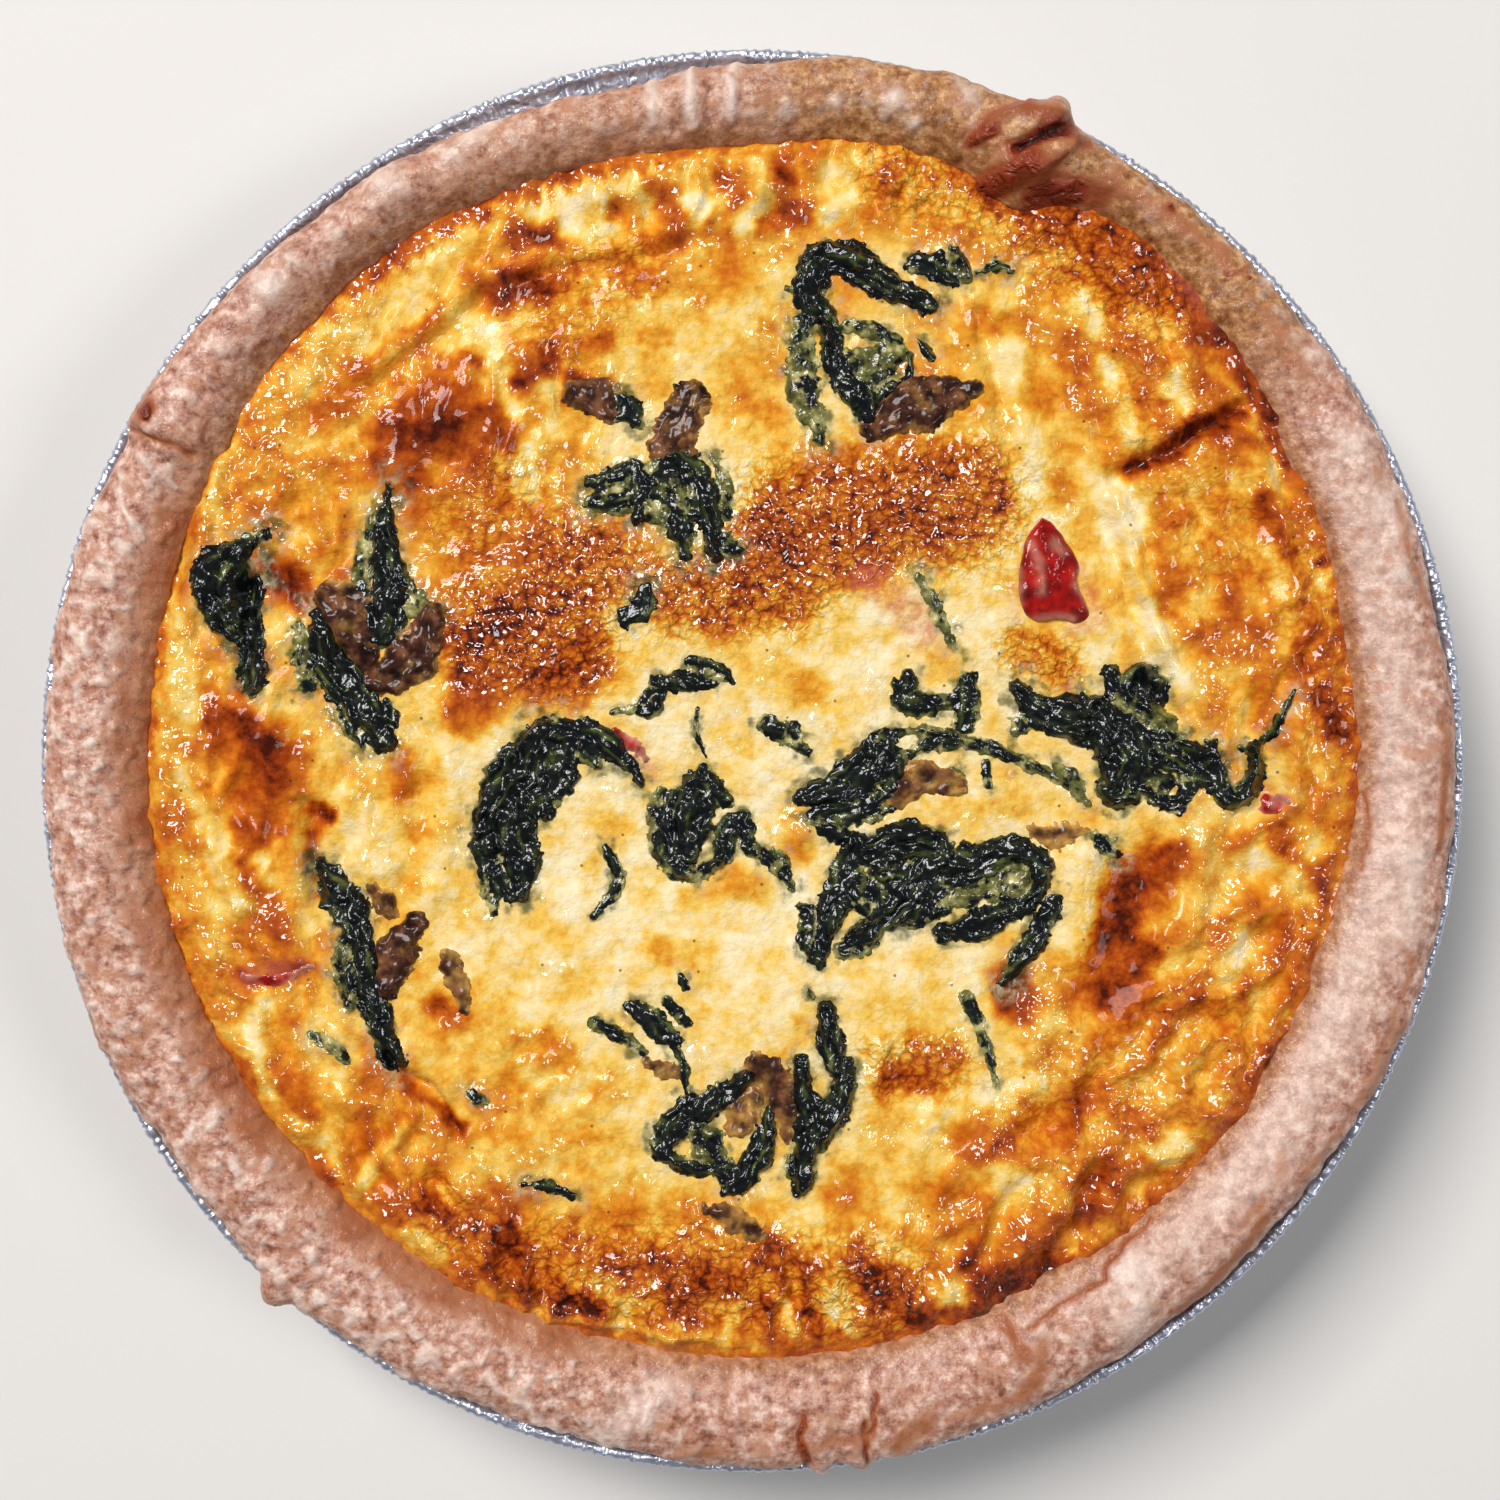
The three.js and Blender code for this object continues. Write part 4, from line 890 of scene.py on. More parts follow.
# Colours are (red, green, blue) bytes. Tones are stops of (value, colour), from pale to dark for the egg and
# the browned and shaded crust, and from dark to pale for the rest.
EGG_TONES = [
    (0.0, (247, 232, 190)), (0.14, (245, 216, 148)), (0.28, (239, 194, 84)), (0.44, (226, 152, 38)),
    (0.61, (203, 106, 20)), (0.78, (166, 68, 9)), (0.91, (124, 42, 6)), (1.0, (72, 20, 4)),
]
EGG_BESIDE_LEAF = (220, 208, 160)
EGG_BESIDE_PEPPER = (206, 104, 88)
EGG_SPECK = (70, 38, 14)
LEAF_IN_EGG = (66, 72, 28)
PINK_CRUST = [(0.34, (136, 80, 58)), (0.45, (178, 122, 98)), (0.56, (206, 160, 138)), (0.66, (240, 208, 190))]
GOLDEN_CRUST = [(0.34, (122, 68, 27)), (0.5, (166, 110, 60)), (0.66, (214, 164, 112))]
# the browned crust ramp serves real browned marks and the painted shade on the inner slope at the back and
# left
BROWNED_AND_SHADED_CRUST = [(0.15, (186, 124, 84)), (0.4, (154, 82, 44)), (0.65, (142, 50, 20)), (1.0, (46, 18, 14))]
# the pale crust colour serves real pale blisters and swellings and the painted light on the inner slope at
# the right
PALE_AND_LIT_CRUST = (245, 224, 208)
FOIL_TONE = (204, 208, 222)
FOIL_STAIN = (150, 120, 92)
LEAF_TONES = [(0.34, (4, 7, 8)), (0.52, (11, 16, 13)), (0.64, (34, 44, 20)), (0.78, (92, 98, 44))]
LEAF_SKIN = [(0.34, (50, 56, 22)), (0.5, (112, 110, 54)), (0.68, (202, 190, 128))]
MUSHROOM_TONES = [(0.34, (26, 12, 8)), (0.5, (68, 36, 24)), (0.68, (128, 82, 54))]
MUSHROOM_SKIN = [(0.3, (140, 74, 24)), (0.7, (226, 178, 92))]
PEPPER_TONES = [(0.32, (92, 6, 4)), (0.5, (146, 10, 6)), (0.68, (186, 26, 14))]
PEPPER_SKIN = (226, 166, 140)
FLOOR_TONE = (226, 222, 216)


def egg_tone(shader, marks, beads):
    """The egg's colour: browned, with painted light on the tops of its beads and painted shade in the gaps
    between them, and tinted by leaf, pepper and specks.
    """
    fine = shader.centred(shader.noise(1.8, detail=4.0, roughness=0.62))
    warm = shader.spread(shader.noise(6.0, detail=2.0), 0.38, 0.68, -0.5, 0.6)
    level = shader.plus(shader.plus(marks["brown"], shader.times(fine, 0.38)), shader.times(warm, 0.14))
    # painted light and shade: the middles of the beads are made paler and the gaps between them darker
    bead_light_and_shade = shader.times(shader.math("SUBTRACT", beads, 0.4), 0.55)
    level = shader.math("ADD", level, shader.times(bead_light_and_shade, marks["pebbled"]), clamp=True)
    tone = shader.ramp(level, EGG_TONES)
    whitened = shader.times(marks["green"], shader.spread(fine, -0.12, 0.15, 0.0, 0.6))
    tone = shader.mix(whitened, tone, EGG_BESIDE_LEAF)
    specks = shader.times(shader.spread(shader.cells(15.0), 0.012, 0.02, 1.0, 0.0), 0.7)
    tone = shader.mix(specks, tone, EGG_SPECK)
    reddened = shader.times(marks["stained"], shader.spread(fine, -0.2, 0.2, 0.2, 0.9))
    tone = shader.mix(reddened, tone, EGG_BESIDE_PEPPER)
    leafy = shader.plus(shader.times(shader.noise(2.6, detail=3.0), 2.0), marks["green"])
    leafy = shader.times(shader.spread(leafy, 1.6, 2.4), shader.spread(marks["green"], 0.1, 0.7, 0.0, 0.8))
    return shader.mix(leafy, tone, LEAF_IN_EGG)


def filling_material():
    """Baked egg, beaded where it is pebbled, under a lumpy glaze."""
    shader = Shader("baked_egg", dimensions="2D")
    marks = {name: shader.vertex(name) for name in ("brown", "pebbled", "green", "glazed", "stained")}
    beads = shader.cells(1.3, place=shader.bent_place(1.0, 1.6))
    shader.set("Base Color", egg_tone(shader, marks, beads))
    shader.gloss(0.6, 0.05, shader.spread(marks["glazed"], 0.15, 0.75, 0.12, 1.0), 0.06)
    shader.set("Coat IOR", 1.6)

    bead_height = shader.times(shader.times(beads, -0.7), marks["pebbled"])
    soft = shader.times(shader.noise(2.4, detail=3.0), 0.42)
    shader.bump(shader.plus(soft, bead_height), "Normal")
    ripples = shader.times(shader.noise(1.25, detail=0.0), shader.times(marks["pebbled"], 0.45))
    lumps = shader.plus(shader.noise(2.2, detail=1.0), ripples)
    shader.bump(shader.times(lumps, shader.spread(marks["glazed"], 0.25, 0.9, 0.1, 1.2)), "Coat Normal")
    return shader.material


def pastry_material():
    """Mottled crust, pink or golden, with pale flecks and browned marks, and with painted shade and painted
    light on the inner slopes.
    """
    shader = Shader("baked_pastry")
    golden, brown, pale = shader.vertex("golden"), shader.vertex("brown"), shader.vertex("pale")
    mottle = shader.noise(2.0, detail=4.0, roughness=0.68)
    pink = shader.ramp(mottle, PINK_CRUST)
    gold = shader.ramp(shader.noise(1.7, detail=4.0, roughness=0.67), GOLDEN_CRUST)
    # the pale mark carries painted light on the inner slope at the right as well as real pale blisters
    tone = shader.mix(pale, shader.mix(golden, pink, gold), PALE_AND_LIT_CRUST)
    # the brown mark carries painted shade on the inner slope at the back and left as well as real browning
    toast_and_shade = shader.ramp(brown, BROWNED_AND_SHADED_CRUST)
    uneven = shader.plus(brown, shader.times(shader.centred(mottle), 0.5))
    shader.set("Base Color", shader.mix(shader.spread(uneven, 0.05, 0.35), tone, toast_and_shade))
    shader.gloss(0.6, 0.25, 0.4, 0.18)

    wrinkles = shader.times(shader.creases(1.5), shader.spread(brown, 0.42, 0.7, 0.0, 0.5))
    blisters = shader.plus(shader.times(shader.noise(1.5, detail=3.0, roughness=0.5), 0.36), wrinkles)
    shader.bump(blisters, "Normal")
    shader.bump(shader.plus(blisters, shader.times(shader.noise(0.7, detail=2.0), 0.28)), "Coat Normal")
    return shader.material


def foil_material():
    """Thin crinkled foil, with faint brown stains."""
    shader = Shader("crimped_foil")
    stained = shader.spread(shader.noise(4.0, detail=4.0), 0.55, 0.75)
    shader.set("Base Color", shader.mix(shader.times(stained, 0.16), FOIL_TONE, FOIL_STAIN))
    shader.set("Metallic", 0.8)
    shader.set("Roughness", shader.spread(shader.noise(1.6), 0.3, 0.7, 0.3, 0.45))
    crinkles = shader.times(shader.creases(3.4), 0.35)
    shader.bump(shader.plus(crinkles, shader.times(shader.noise(1.2, detail=4.0), 0.15)), "Normal")
    return shader.material


def spinach_material():
    """Nearly black wet leaf, with a thin skin of egg in places."""
    shader = Shader("wilted_spinach")
    film, streak = shader.vertex("film"), shader.vertex("streak")
    tone = shader.plus(shader.times(shader.noise(2.4, detail=5.0), 0.65), shader.times(streak, 0.35))
    leaf = shader.ramp(tone, LEAF_TONES)
    skin = shader.ramp(shader.noise(2.4, detail=4.0), LEAF_SKIN)
    ragged = shader.centred(shader.noise(1.0, detail=3.0))
    veiled = shader.spread(shader.plus(film, ragged), 0.3, 0.7)
    shader.set("Base Color", shader.mix(veiled, leaf, skin))
    shader.gloss(0.5, 0.1, 0.9, 0.13)
    shader.bump(shader.times(shader.noise(1.8, detail=3.0), 0.3), "Normal", "Coat Normal")
    return shader.material


def mushroom_material():
    """Dark brown slices, with a thin skin of egg in places."""
    shader = Shader("cooked_mushroom")
    film = shader.vertex("film")
    flesh = shader.ramp(shader.noise(2.6, detail=5.0), MUSHROOM_TONES)
    skin = shader.ramp(shader.noise(1.5, detail=4.0), MUSHROOM_SKIN)
    shader.set("Base Color", shader.mix(film, flesh, skin))
    shader.gloss(0.6, 0.05, 0.4, 0.16)
    shader.bump(shader.times(shader.noise(2.6, detail=2.0), 0.16), "Normal", "Coat Normal")
    return shader.material


def pepper_material():
    """Deep red pepper, with a pale skin of egg along its edge."""
    shader = Shader("cooked_pepper")
    film = shader.vertex("film")
    flesh = shader.ramp(shader.noise(2.5, detail=4.0), PEPPER_TONES)
    shader.set("Base Color", shader.mix(shader.times(film, 0.75), flesh, PEPPER_SKIN))
    shader.gloss(0.6, 0.05, 0.6, 0.07)
    shader.bump(shader.times(shader.noise(2.0, detail=3.0), 0.3), "Normal", "Coat Normal")
    return shader.material


# ---- toppings ----

# What each node is made of: folds of leaf or slices, as (path, width at its start, middle and end,
# height above the filling, how far the egg has skinned over it).
TOPPINGS = {
    "spinach_back": [
        ([(28.5, 71), (24, 73), (20, 74.8), (16, 77)], (2.2, 4.2, 4.4), 1.7, 0.0),
        ([(18, 77.5), (14, 79), (10.5, 78.5), (9, 75)], (3.6, 5.2, 4.6), 2.0, 0.0),
        ([(9.5, 77), (8.6, 74), (9.4, 71), (11.5, 70)], (4.6, 4.2, 2.6), 1.8, 0.05),
        ([(9.5, 73.5), (5.4, 73.8)], (3.4, 2.4, 0.8), 1.0, 0.3),
        ([(11, 71), (12.2, 66.5), (13.2, 62), (16, 57)], (2.6, 3.2, 3.6), 2.0, 0.0),
        ([(7.5, 69), (7.8, 63), (8, 58), (9.5, 54), (10.6, 50)], (2.4, 5.0, 1.8), 1.0, 0.42),
        ([(15, 68), (20, 67), (23, 65)], (2.0, 2.6, 2.0), 1.3, 0.35),
        ([(14, 62), (18, 61.5), (22, 63.5)], (4.0, 7.0, 4.0), 1.0, 0.5),
        ([(14.5, 59), (17, 56.5), (18.5, 52.5)], (3.4, 4.4, 1.6), 1.6, 0.05),
        ([(18, 53), (20.5, 57.5), (24, 59.5), (24.6, 63.5)], (1.2, 1.8, 1.2), 1.6, 0.1),
        ([(25.8, 66), (28, 63)], (1.0, 1.6, 1.4), 1.2, 0.1),
    ],
    "mushroom_back": [([(18.5, 52), (24, 54.8), (29, 56.8), (34.5, 58.2)], (3.6, 8.4, 2.6), 1.7, 0.1)],
    "spinach_back_small": [
        ([(25.4, 78), (28.5, 77), (31.5, 75)], (2.8, 4.2, 2.0), 1.3, 0.1),
        ([(31, 79), (33.5, 75.5)], (2.4, 3.4, 1.6), 1.0, 0.4),
    ],
    "spinach_upper": [
        ([(-25.4, 43.4), (-22.5, 44), (-19, 45.5)], (1.2, 3.0, 2.6), 1.4, 0.0),
        ([(-25.5, 40.5), (-21, 41), (-17.5, 43)], (2.4, 5.4, 4.6), 1.1, 0.4),
        ([(-18.6, 46), (-17.6, 42), (-17.8, 38)], (2.4, 3.8, 2.2), 1.7, 0.05),
        ([(-15.5, 43.5), (-12, 43), (-9.5, 40)], (6.0, 8.0, 5.0), 1.2, 0.32),
        ([(-12.5, 47.5), (-9, 45.5), (-7.4, 41), (-6.4, 36), (-5.6, 32)], (2.6, 4.2, 2.0), 1.9, 0.0),
        ([(-12.5, 41), (-11, 36.5), (-10.4, 31.5)], (3.6, 3.8, 1.4), 1.5, 0.1),
        ([(-6, 47.5), (-4.2, 42), (-4, 38)], (1.2, 2.4, 1.6), 1.0, 0.4),
        ([(-6, 34.5), (-2.6, 33)], (2.0, 3.0, 2.6), 0.9, 0.3),
        ([(-15.8, 40.5), (-13.5, 37)], (3.4, 4.0, 2.0), 1.0, 0.45),
    ],
    "mushroom_upper": [
        ([(-9.5, 57), (-11.5, 53), (-13.5, 49.5)], (4.6, 6.2, 5.0), 1.5, 0.15),
        ([(-8, 55.5), (-10.5, 52), (-10, 48)], (2.6, 4.0, 2.6), 1.3, 0.3),
    ],
    "spinach_left_curl": [
        ([(-75.5, 35.5), (-79, 33.6), (-83, 31), (-84.6, 26.5), (-83, 22), (-80.5, 18.5)],
         (1.4, 5.6, 1.6), 1.9, 0.1),
        ([(-80.5, 31), (-81.5, 26), (-81, 22)], (3.0, 5.0, 2.4), 1.4, 0.05),
    ],
    "spinach_left_rib": [
        ([(-77.6, 28), (-79, 23), (-78.8, 18), (-78, 12)], (2.6, 4.2, 3.6), 1.3, 0.0),
        ([(-78, 18), (-77.6, 12.5)], (2.4, 4.4, 3.2), 1.2, 0.1),
    ],
    "spinach_left_blade": [
        ([(-56.8, 42.5), (-57.4, 37), (-57, 31), (-57.4, 25.5), (-58, 20.5)], (1.4, 4.6, 5.2), 2.0, 0.0),
        ([(-59.6, 38), (-60.4, 32), (-61, 26.5)], (1.2, 3.6, 3.0), 1.3, 0.42),
        ([(-55.4, 31), (-54.6, 26), (-55.6, 21)], (1.2, 3.4, 2.0), 1.4, 0.2),
    ],
    "spinach_left_fold": [
        ([(-67.6, 22.5), (-66.4, 16), (-63, 11), (-60, 6.5), (-57.5, 3)], (2.6, 6.4, 3.6), 2.2, 0.0),
        ([(-70.6, 20.5), (-69.8, 15.5), (-69.4, 11.5)], (2.6, 4.4, 2.0), 1.4, 0.42),
        ([(-64.5, 8), (-62, 4.5), (-61, 1.5)], (2.0, 4.0, 1.4), 1.3, 0.3),
        ([(-57, 9), (-56, 5.5)], (1.0, 2.4, 1.4), 1.2, 0.1),
    ],
    "mushroom_left": [
        ([(-66.5, 25.5), (-63.5, 22), (-61, 18), (-60.5, 15.5)], (4.0, 6.0, 3.6), 1.9, 0.12),
        ([(-66, 28), (-61, 24.5)], (2.0, 4.4, 3.4), 1.4, 0.3),
    ],
    "mushroom_left_low": [
        ([(-60, 12.6), (-56, 13.8), (-51.8, 18), (-50.5, 22)], (3.6, 7.2, 4.2), 1.8, 0.05),
        ([(-54, 18.5), (-50, 14.5)], (4.0, 4.6, 2.6), 1.3, 0.3),
    ],
    "spinach_middle_strip": [
        ([(-3.4, 12.6), (-5.8, 14.8), (-10, 15.6)], (1.4, 2.2, 1.6), 1.4, 0.05),
        ([(-15.2, 12.4), (-10, 12.4), (-6, 12.2)], (2.2, 2.8, 1.6), 1.2, 0.1),
        ([(-9.5, 13.9), (-5, 13.4)], (1.8, 2.8, 1.6), 0.9, 0.45),
        ([(-14.5, 11), (-16.8, 8)], (2.4, 3.6, 2.8), 1.0, 0.25),
        ([(-17, 8), (-22, 7.8)], (2.0, 1.6, 1.0), 0.6, 0.4),
    ],
    "spinach_middle_arc": [
        ([(-33, 4.6), (-28, 4.6), (-23.5, 3), (-20, 0), (-17.6, -3.4)], (3.6, 4.8, 0.9), 1.9, 0.03),
        ([(-32.5, 4), (-36, -2), (-39.5, -8), (-41.5, -13)], (5.0, 9.4, 4.4), 2.2, 0.1),
        ([(-30.6, 4), (-30.6, -2.5), (-33, -8)], (4.6, 5.6, 2.4), 1.5, 0.12),
        ([(-43, -13.5), (-41, -17.5), (-38, -21.8)], (2.6, 3.8, 1.6), 1.6, 0.05),
        ([(-36.6, -9), (-36, -14.5), (-36.4, -21)], (5.0, 5.4, 2.2), 1.8, 0.0),
        ([(-27, 3), (-24.5, -0.8)], (4.0, 3.4, 1.6), 1.1, 0.3),
        ([(-41, -17), (-40.5, -23.6)], (2.8, 3.0, 1.6), 1.0, 0.42),
    ],
    "spinach_middle": [
        ([(-7.5, -1.6), (-6.4, -4), (-4, -6)], (2.0, 3.4, 2.2), 1.3, 0.1),
        ([(-8.5, -4.5), (-10.5, -9), (-10.6, -14)], (5.4, 8.0, 5.0), 2.1, 0.0),
        ([(-14.4, -6), (-14.6, -11.5), (-13, -16), (-8.8, -17.8), (-5.6, -15.5)], (3.0, 3.4, 2.0), 1.7, 0.25),
        ([(-4.6, -14.5), (-4, -10.5), (-1.4, -9)], (2.6, 4.0, 2.0), 1.7, 0.05),
        ([(-1.8, -9.6), (-0.6, -13), (1.6, -15.6)], (2.4, 2.8, 1.4), 1.4, 0.1),
        ([(0, -14), (3.6, -15.8), (6.4, -20)], (1.6, 3.2, 1.2), 1.2, 0.28),
    ],
    "spinach_right_small": [
        ([(24.4, 12.6), (23.8, 9.8), (27.6, 8.6)], (3.0, 4.2, 3.4), 1.4, 0.1),
        ([(26.5, 9.4), (30, 9), (33, 9)], (3.0, 2.2, 2.0), 0.8, 0.4),
        ([(33.4, 13), (33.2, 9), (33, 5.4)], (2.4, 4.4, 2.8), 1.3, 0.18),
    ],
    "spinach_right": [
        ([(41.4, 11.5), (45, 7.6), (50, 6.8), (55, 5)], (2.4, 6.0, 6.4), 2.0, 0.0),
        ([(53.5, 8.5), (57, 4), (58.4, 0), (57, -4.4)], (4.0, 9.0, 5.4), 2.2, 0.0),
        ([(42.5, 6.5), (41, 4.5)], (3.0, 3.0, 1.6), 1.0, 0.45),
        ([(56, 13.8), (57.6, 11), (60.6, 13.4), (61.4, 10.4)], (3.0, 3.8, 2.6), 1.8, 0.0),
        ([(61.8, 14), (64.2, 9.6)], (2.6, 4.2, 2.4), 1.8, 0.1),
        ([(57, 9.5), (62, 7), (67, 3.5)], (3.0, 4.4, 2.4), 1.1, 0.5),
        ([(61, 3.6), (66, 1.6), (70.6, 1)], (3.4, 4.2, 2.6), 1.7, 0.08),
        ([(61, -0.5), (65, 0.2), (68.4, -2.6), (66.6, -6.4), (62.6, -5.6)], (3.0, 3.4, 2.4), 1.9, 0.12),
        ([(60, -3), (64.6, -3.2)], (4.0, 5.0, 3.0), 1.4, 0.25),
        ([(69, -1), (71.6, -4)], (3.0, 3.4, 2.4), 1.5, 0.1),
        ([(71.6, 2.4), (72.4, -2.4), (75, -6), (78, -4), (79, -0.4), (77.4, 2)], (2.4, 4.0, 2.4), 1.8, 0.1),
        ([(77.6, 1.6), (80.4, 3.6), (83, 8), (84.6, 11)], (1.6, 1.4, 0.7), 1.1, 0.05),
        ([(56, -5), (60, -5.6)], (2.0, 2.6, 1.6), 1.2, 0.1),
    ],
    "spinach_stalk": [
        ([(8.4, -5.6), (13, -4.6), (17, -1.6), (20.4, 2.6)], (3.0, 7.0, 4.0), 1.7, 0.05),
        ([(10, -8.6), (15, -8), (21, -6)], (3.0, 4.8, 3.2), 1.2, 0.25),
        ([(19.6, 2.6), (22, -0.6), (21.6, -4)], (3.0, 4.4, 2.4), 1.4, 0.2),
        ([(24, 0), (27, 2.6), (31.5, 2.6)], (1.0, 2.6, 1.6), 1.0, 0.3),
        ([(19, 3.6), (25, 4.6), (32, 3.6), (39, 1.2), (45, -1.4), (51, -4.4)], (1.6, 2.2, 1.4), 1.2, 0.3),
    ],
    "mushroom_middle": [([(22.6, -5.6), (26.5, -3), (31.5, -3.8)], (3.6, 5.4, 3.0), 1.1, 0.3)],
    "spinach_front_right": [
        ([(9.6, -31.5), (11.4, -26), (13.4, -20), (16.4, -13)], (2.4, 4.6, 3.2), 1.8, 0.0),
        ([(8.6, -23.4), (8.8, -29)], (2.4, 3.0, 2.2), 1.3, 0.25),
        ([(11.4, -10.8), (15.6, -12)], (2.4, 3.4, 2.4), 1.3, 0.1),
        ([(18, -14.5), (23, -13), (28.4, -12.6)], (4.4, 6.6, 4.2), 1.7, 0.1),
        ([(16.4, -28), (21.4, -24), (26, -18.6), (30.4, -14.6)], (3.2, 5.0, 3.6), 2.1, 0.0),
        ([(14.6, -18.4), (18.4, -21.8), (21, -25)], (4.4, 5.4, 3.2), 1.2, 0.3),
        ([(20.4, -17.4), (24, -17)], (4.0, 5.4, 3.4), 1.2, 0.2),
        ([(24.4, -24.8), (28, -21.4), (31, -18.4)], (3.4, 6.6, 4.2), 1.4, 0.2),
        ([(29.6, -16.4), (34, -16.2), (38, -15)], (4.4, 6.0, 5.0), 1.8, 0.05),
        ([(36.6, -15.4), (41, -13.8), (44.6, -16), (45, -20), (41.6, -23.4)], (4.0, 3.4, 2.6), 2.2, 0.0),
        ([(39, -19.4), (42, -18)], (4.6, 5.6, 4.0), 1.1, 0.52),
        ([(29.6, -26.8), (35, -26), (40.6, -23)], (2.4, 4.4, 3.4), 1.8, 0.0),
        ([(30, -22.4), (36, -19.6), (39, -22)], (3.4, 4.4, 3.0), 0.9, 0.48),
        ([(14, -29.5), (18.6, -28.4)], (2.4, 3.4, 2.0), 1.0, 0.45),
    ],
    "spinach_front_tip": [
        ([(47.4, -21.8), (45.4, -26), (42.4, -30.6), (39.4, -34.6)], (2.4, 4.0, 1.8), 1.5, 0.03),
    ],
    "spinach_front": [
        ([(-15, -60), (-12.4, -57.4), (-9.6, -53)], (3.0, 5.0, 2.0), 1.4, 0.1),
        ([(-14, -61.4), (-10, -63.4), (-4.6, -64)], (2.8, 2.6, 1.6), 1.5, 0.08),
        ([(-10.4, -55.4), (-6, -53.4), (-1, -49.4)], (2.8, 4.6, 2.4), 1.6, 0.05),
        ([(-8.6, -58), (-5.4, -61.6)], (3.0, 5.0, 3.0), 1.1, 0.4),
        ([(-3.4, -67), (-0.6, -64), (1.8, -59.6), (3.2, -53.4)], (2.6, 4.2, 1.2), 1.6, 0.05),
        ([(-5.6, -63.8), (-2, -64.8)], (2.6, 3.4, 2.6), 1.3, 0.15),
    ],
    "mushroom_front": [
        ([(-2.4, -57), (-1.4, -54.6), (-0.6, -52.6)], (3.6, 5.0, 3.4), 1.5, 0.4),
    ],
    "spinach_front_blades": [
        ([(11.6, -38.8), (12, -43.4), (12.8, -48)], (2.4, 4.4, 2.4), 1.7, 0.0),
        ([(14.6, -47.6), (13.8, -52.6), (11.6, -57), (10, -60)], (2.4, 4.4, 2.4), 1.8, 0.0),
        ([(7.4, -46.8), (8.2, -52), (9.4, -57), (8, -62), (7.6, -66.2)], (1.6, 4.4, 3.2), 1.9, 0.0),
        ([(6, -62), (6, -65)], (1.0, 1.8, 1.0), 1.0, 0.2),
    ],
    "spinach_left_front": [
        ([(-67.6, -16.6), (-65, -20.4), (-62.4, -26.6)], (3.0, 6.0, 3.6), 1.8, 0.12),
        ([(-61.6, -22), (-61, -28), (-60, -34), (-58.6, -40), (-56, -47)], (2.4, 4.2, 3.2), 2.0, 0.0),
        ([(-63.6, -28.6), (-63.6, -33), (-62.6, -38)], (2.6, 4.0, 2.0), 1.2, 0.38),
    ],
    "mushroom_left_front": [
        ([(-52.8, -25.6), (-55.6, -30), (-57, -35.6)], (3.4, 6.4, 3.2), 1.6, 0.05),
        ([(-59, -20.4), (-57, -23.4)], (2.4, 4.2, 3.0), 1.4, 0.3),
    ],
}

# Thin leaf ends, stalks and small slices, which the solid has as part of the filling.
SPINACH_FLAKES = [
    ([(35.4, 76.4), (38, 77.4), (40.6, 76.6)], (1.0, 2.2, 1.0), 0.9, 0.1),
    ([(-20.6, 56.6), (-18, 53)], (2.6, 5.0, 2.6), 1.1, 0.22),
    ([(-16.6, 27.8), (-17.4, 24), (-19.4, 22.4)], (1.2, 4.0, 3.0), 1.0, 0.0),
    ([(2, 5.6), (5, 4.4), (8.2, 1.6)], (2.6, 4.2, 1.0), 0.9, 0.25),
    ([(-54.4, 25.6), (-50, 23)], (2.4, 4.0, 2.4), 1.1, 0.5),
    ([(-23, -13.4), (-21.4, -16.8), (-21.4, -20), (-24.8, -24.4)], (1.2, 2.2, 1.2), 0.9, 0.2),
    ([(-18.8, -38.2), (-15.6, -41), (-12.4, -44)], (2.0, 4.4, 2.0), 1.1, 0.05),
    ([(-13.6, -37.4), (-10, -41.2)], (1.4, 2.0, 1.6), 0.8, 0.2),
    ([(-11, -33.8), (-10.6, -35.4)], (1.4, 2.0, 1.2), 0.8, 0.1),
    ([(-12, -44.6), (-10.8, -48), (-10, -52.6)], (1.4, 1.6, 1.4), 0.9, 0.15),
    ([(54, -12), (57.4, -15)], (2.2, 3.2, 1.8), 0.9, 0.3),
    ([(-24.6, -41), (-20, -43.4), (-17, -45.8)], (2.2, 2.4, 1.4), 0.8, 0.32),
    ([(-35.5, -66), (-32, -66.4), (-28, -68)], (1.2, 1.8, 1.0), 0.8, 0.1),
    ([(33.5, -37), (35.5, -42), (37, -46), (38, -51)], (2.6, 1.8, 1.0), 0.8, 0.3),
    ([(-8.6, 8.2), (-8.8, 4.4), (-7.2, 0.6)], (0.7, 1.1, 0.7), 0.7, 0.1),
    ([(31.4, -1.6), (33, -3.4)], (1.2, 2.0, 1.2), 0.7, 0.35),
    ([(36.4, 0), (37, -4)], (1.0, 1.8, 1.2), 0.8, 0.1),
    ([(47.6, -0.6), (50, -3), (52.4, -7)], (1.4, 2.6, 1.6), 0.8, 0.42),
    ([(8.6, -36), (9.4, -37)], (0.9, 1.3, 0.9), 0.6, 0.2),
    ([(26, 29), (28.6, 24), (31.4, 18)], (1.2, 2.6, 1.2), 0.6, 0.62),
    ([(-69, -42.6), (-65, -44.6), (-63, -46.6)], (1.2, 2.0, 1.2), 0.6, 0.5),
    ([(-44, -52), (-42, -53.4)], (1.2, 2.0, 1.2), 0.7, 0.3),
]
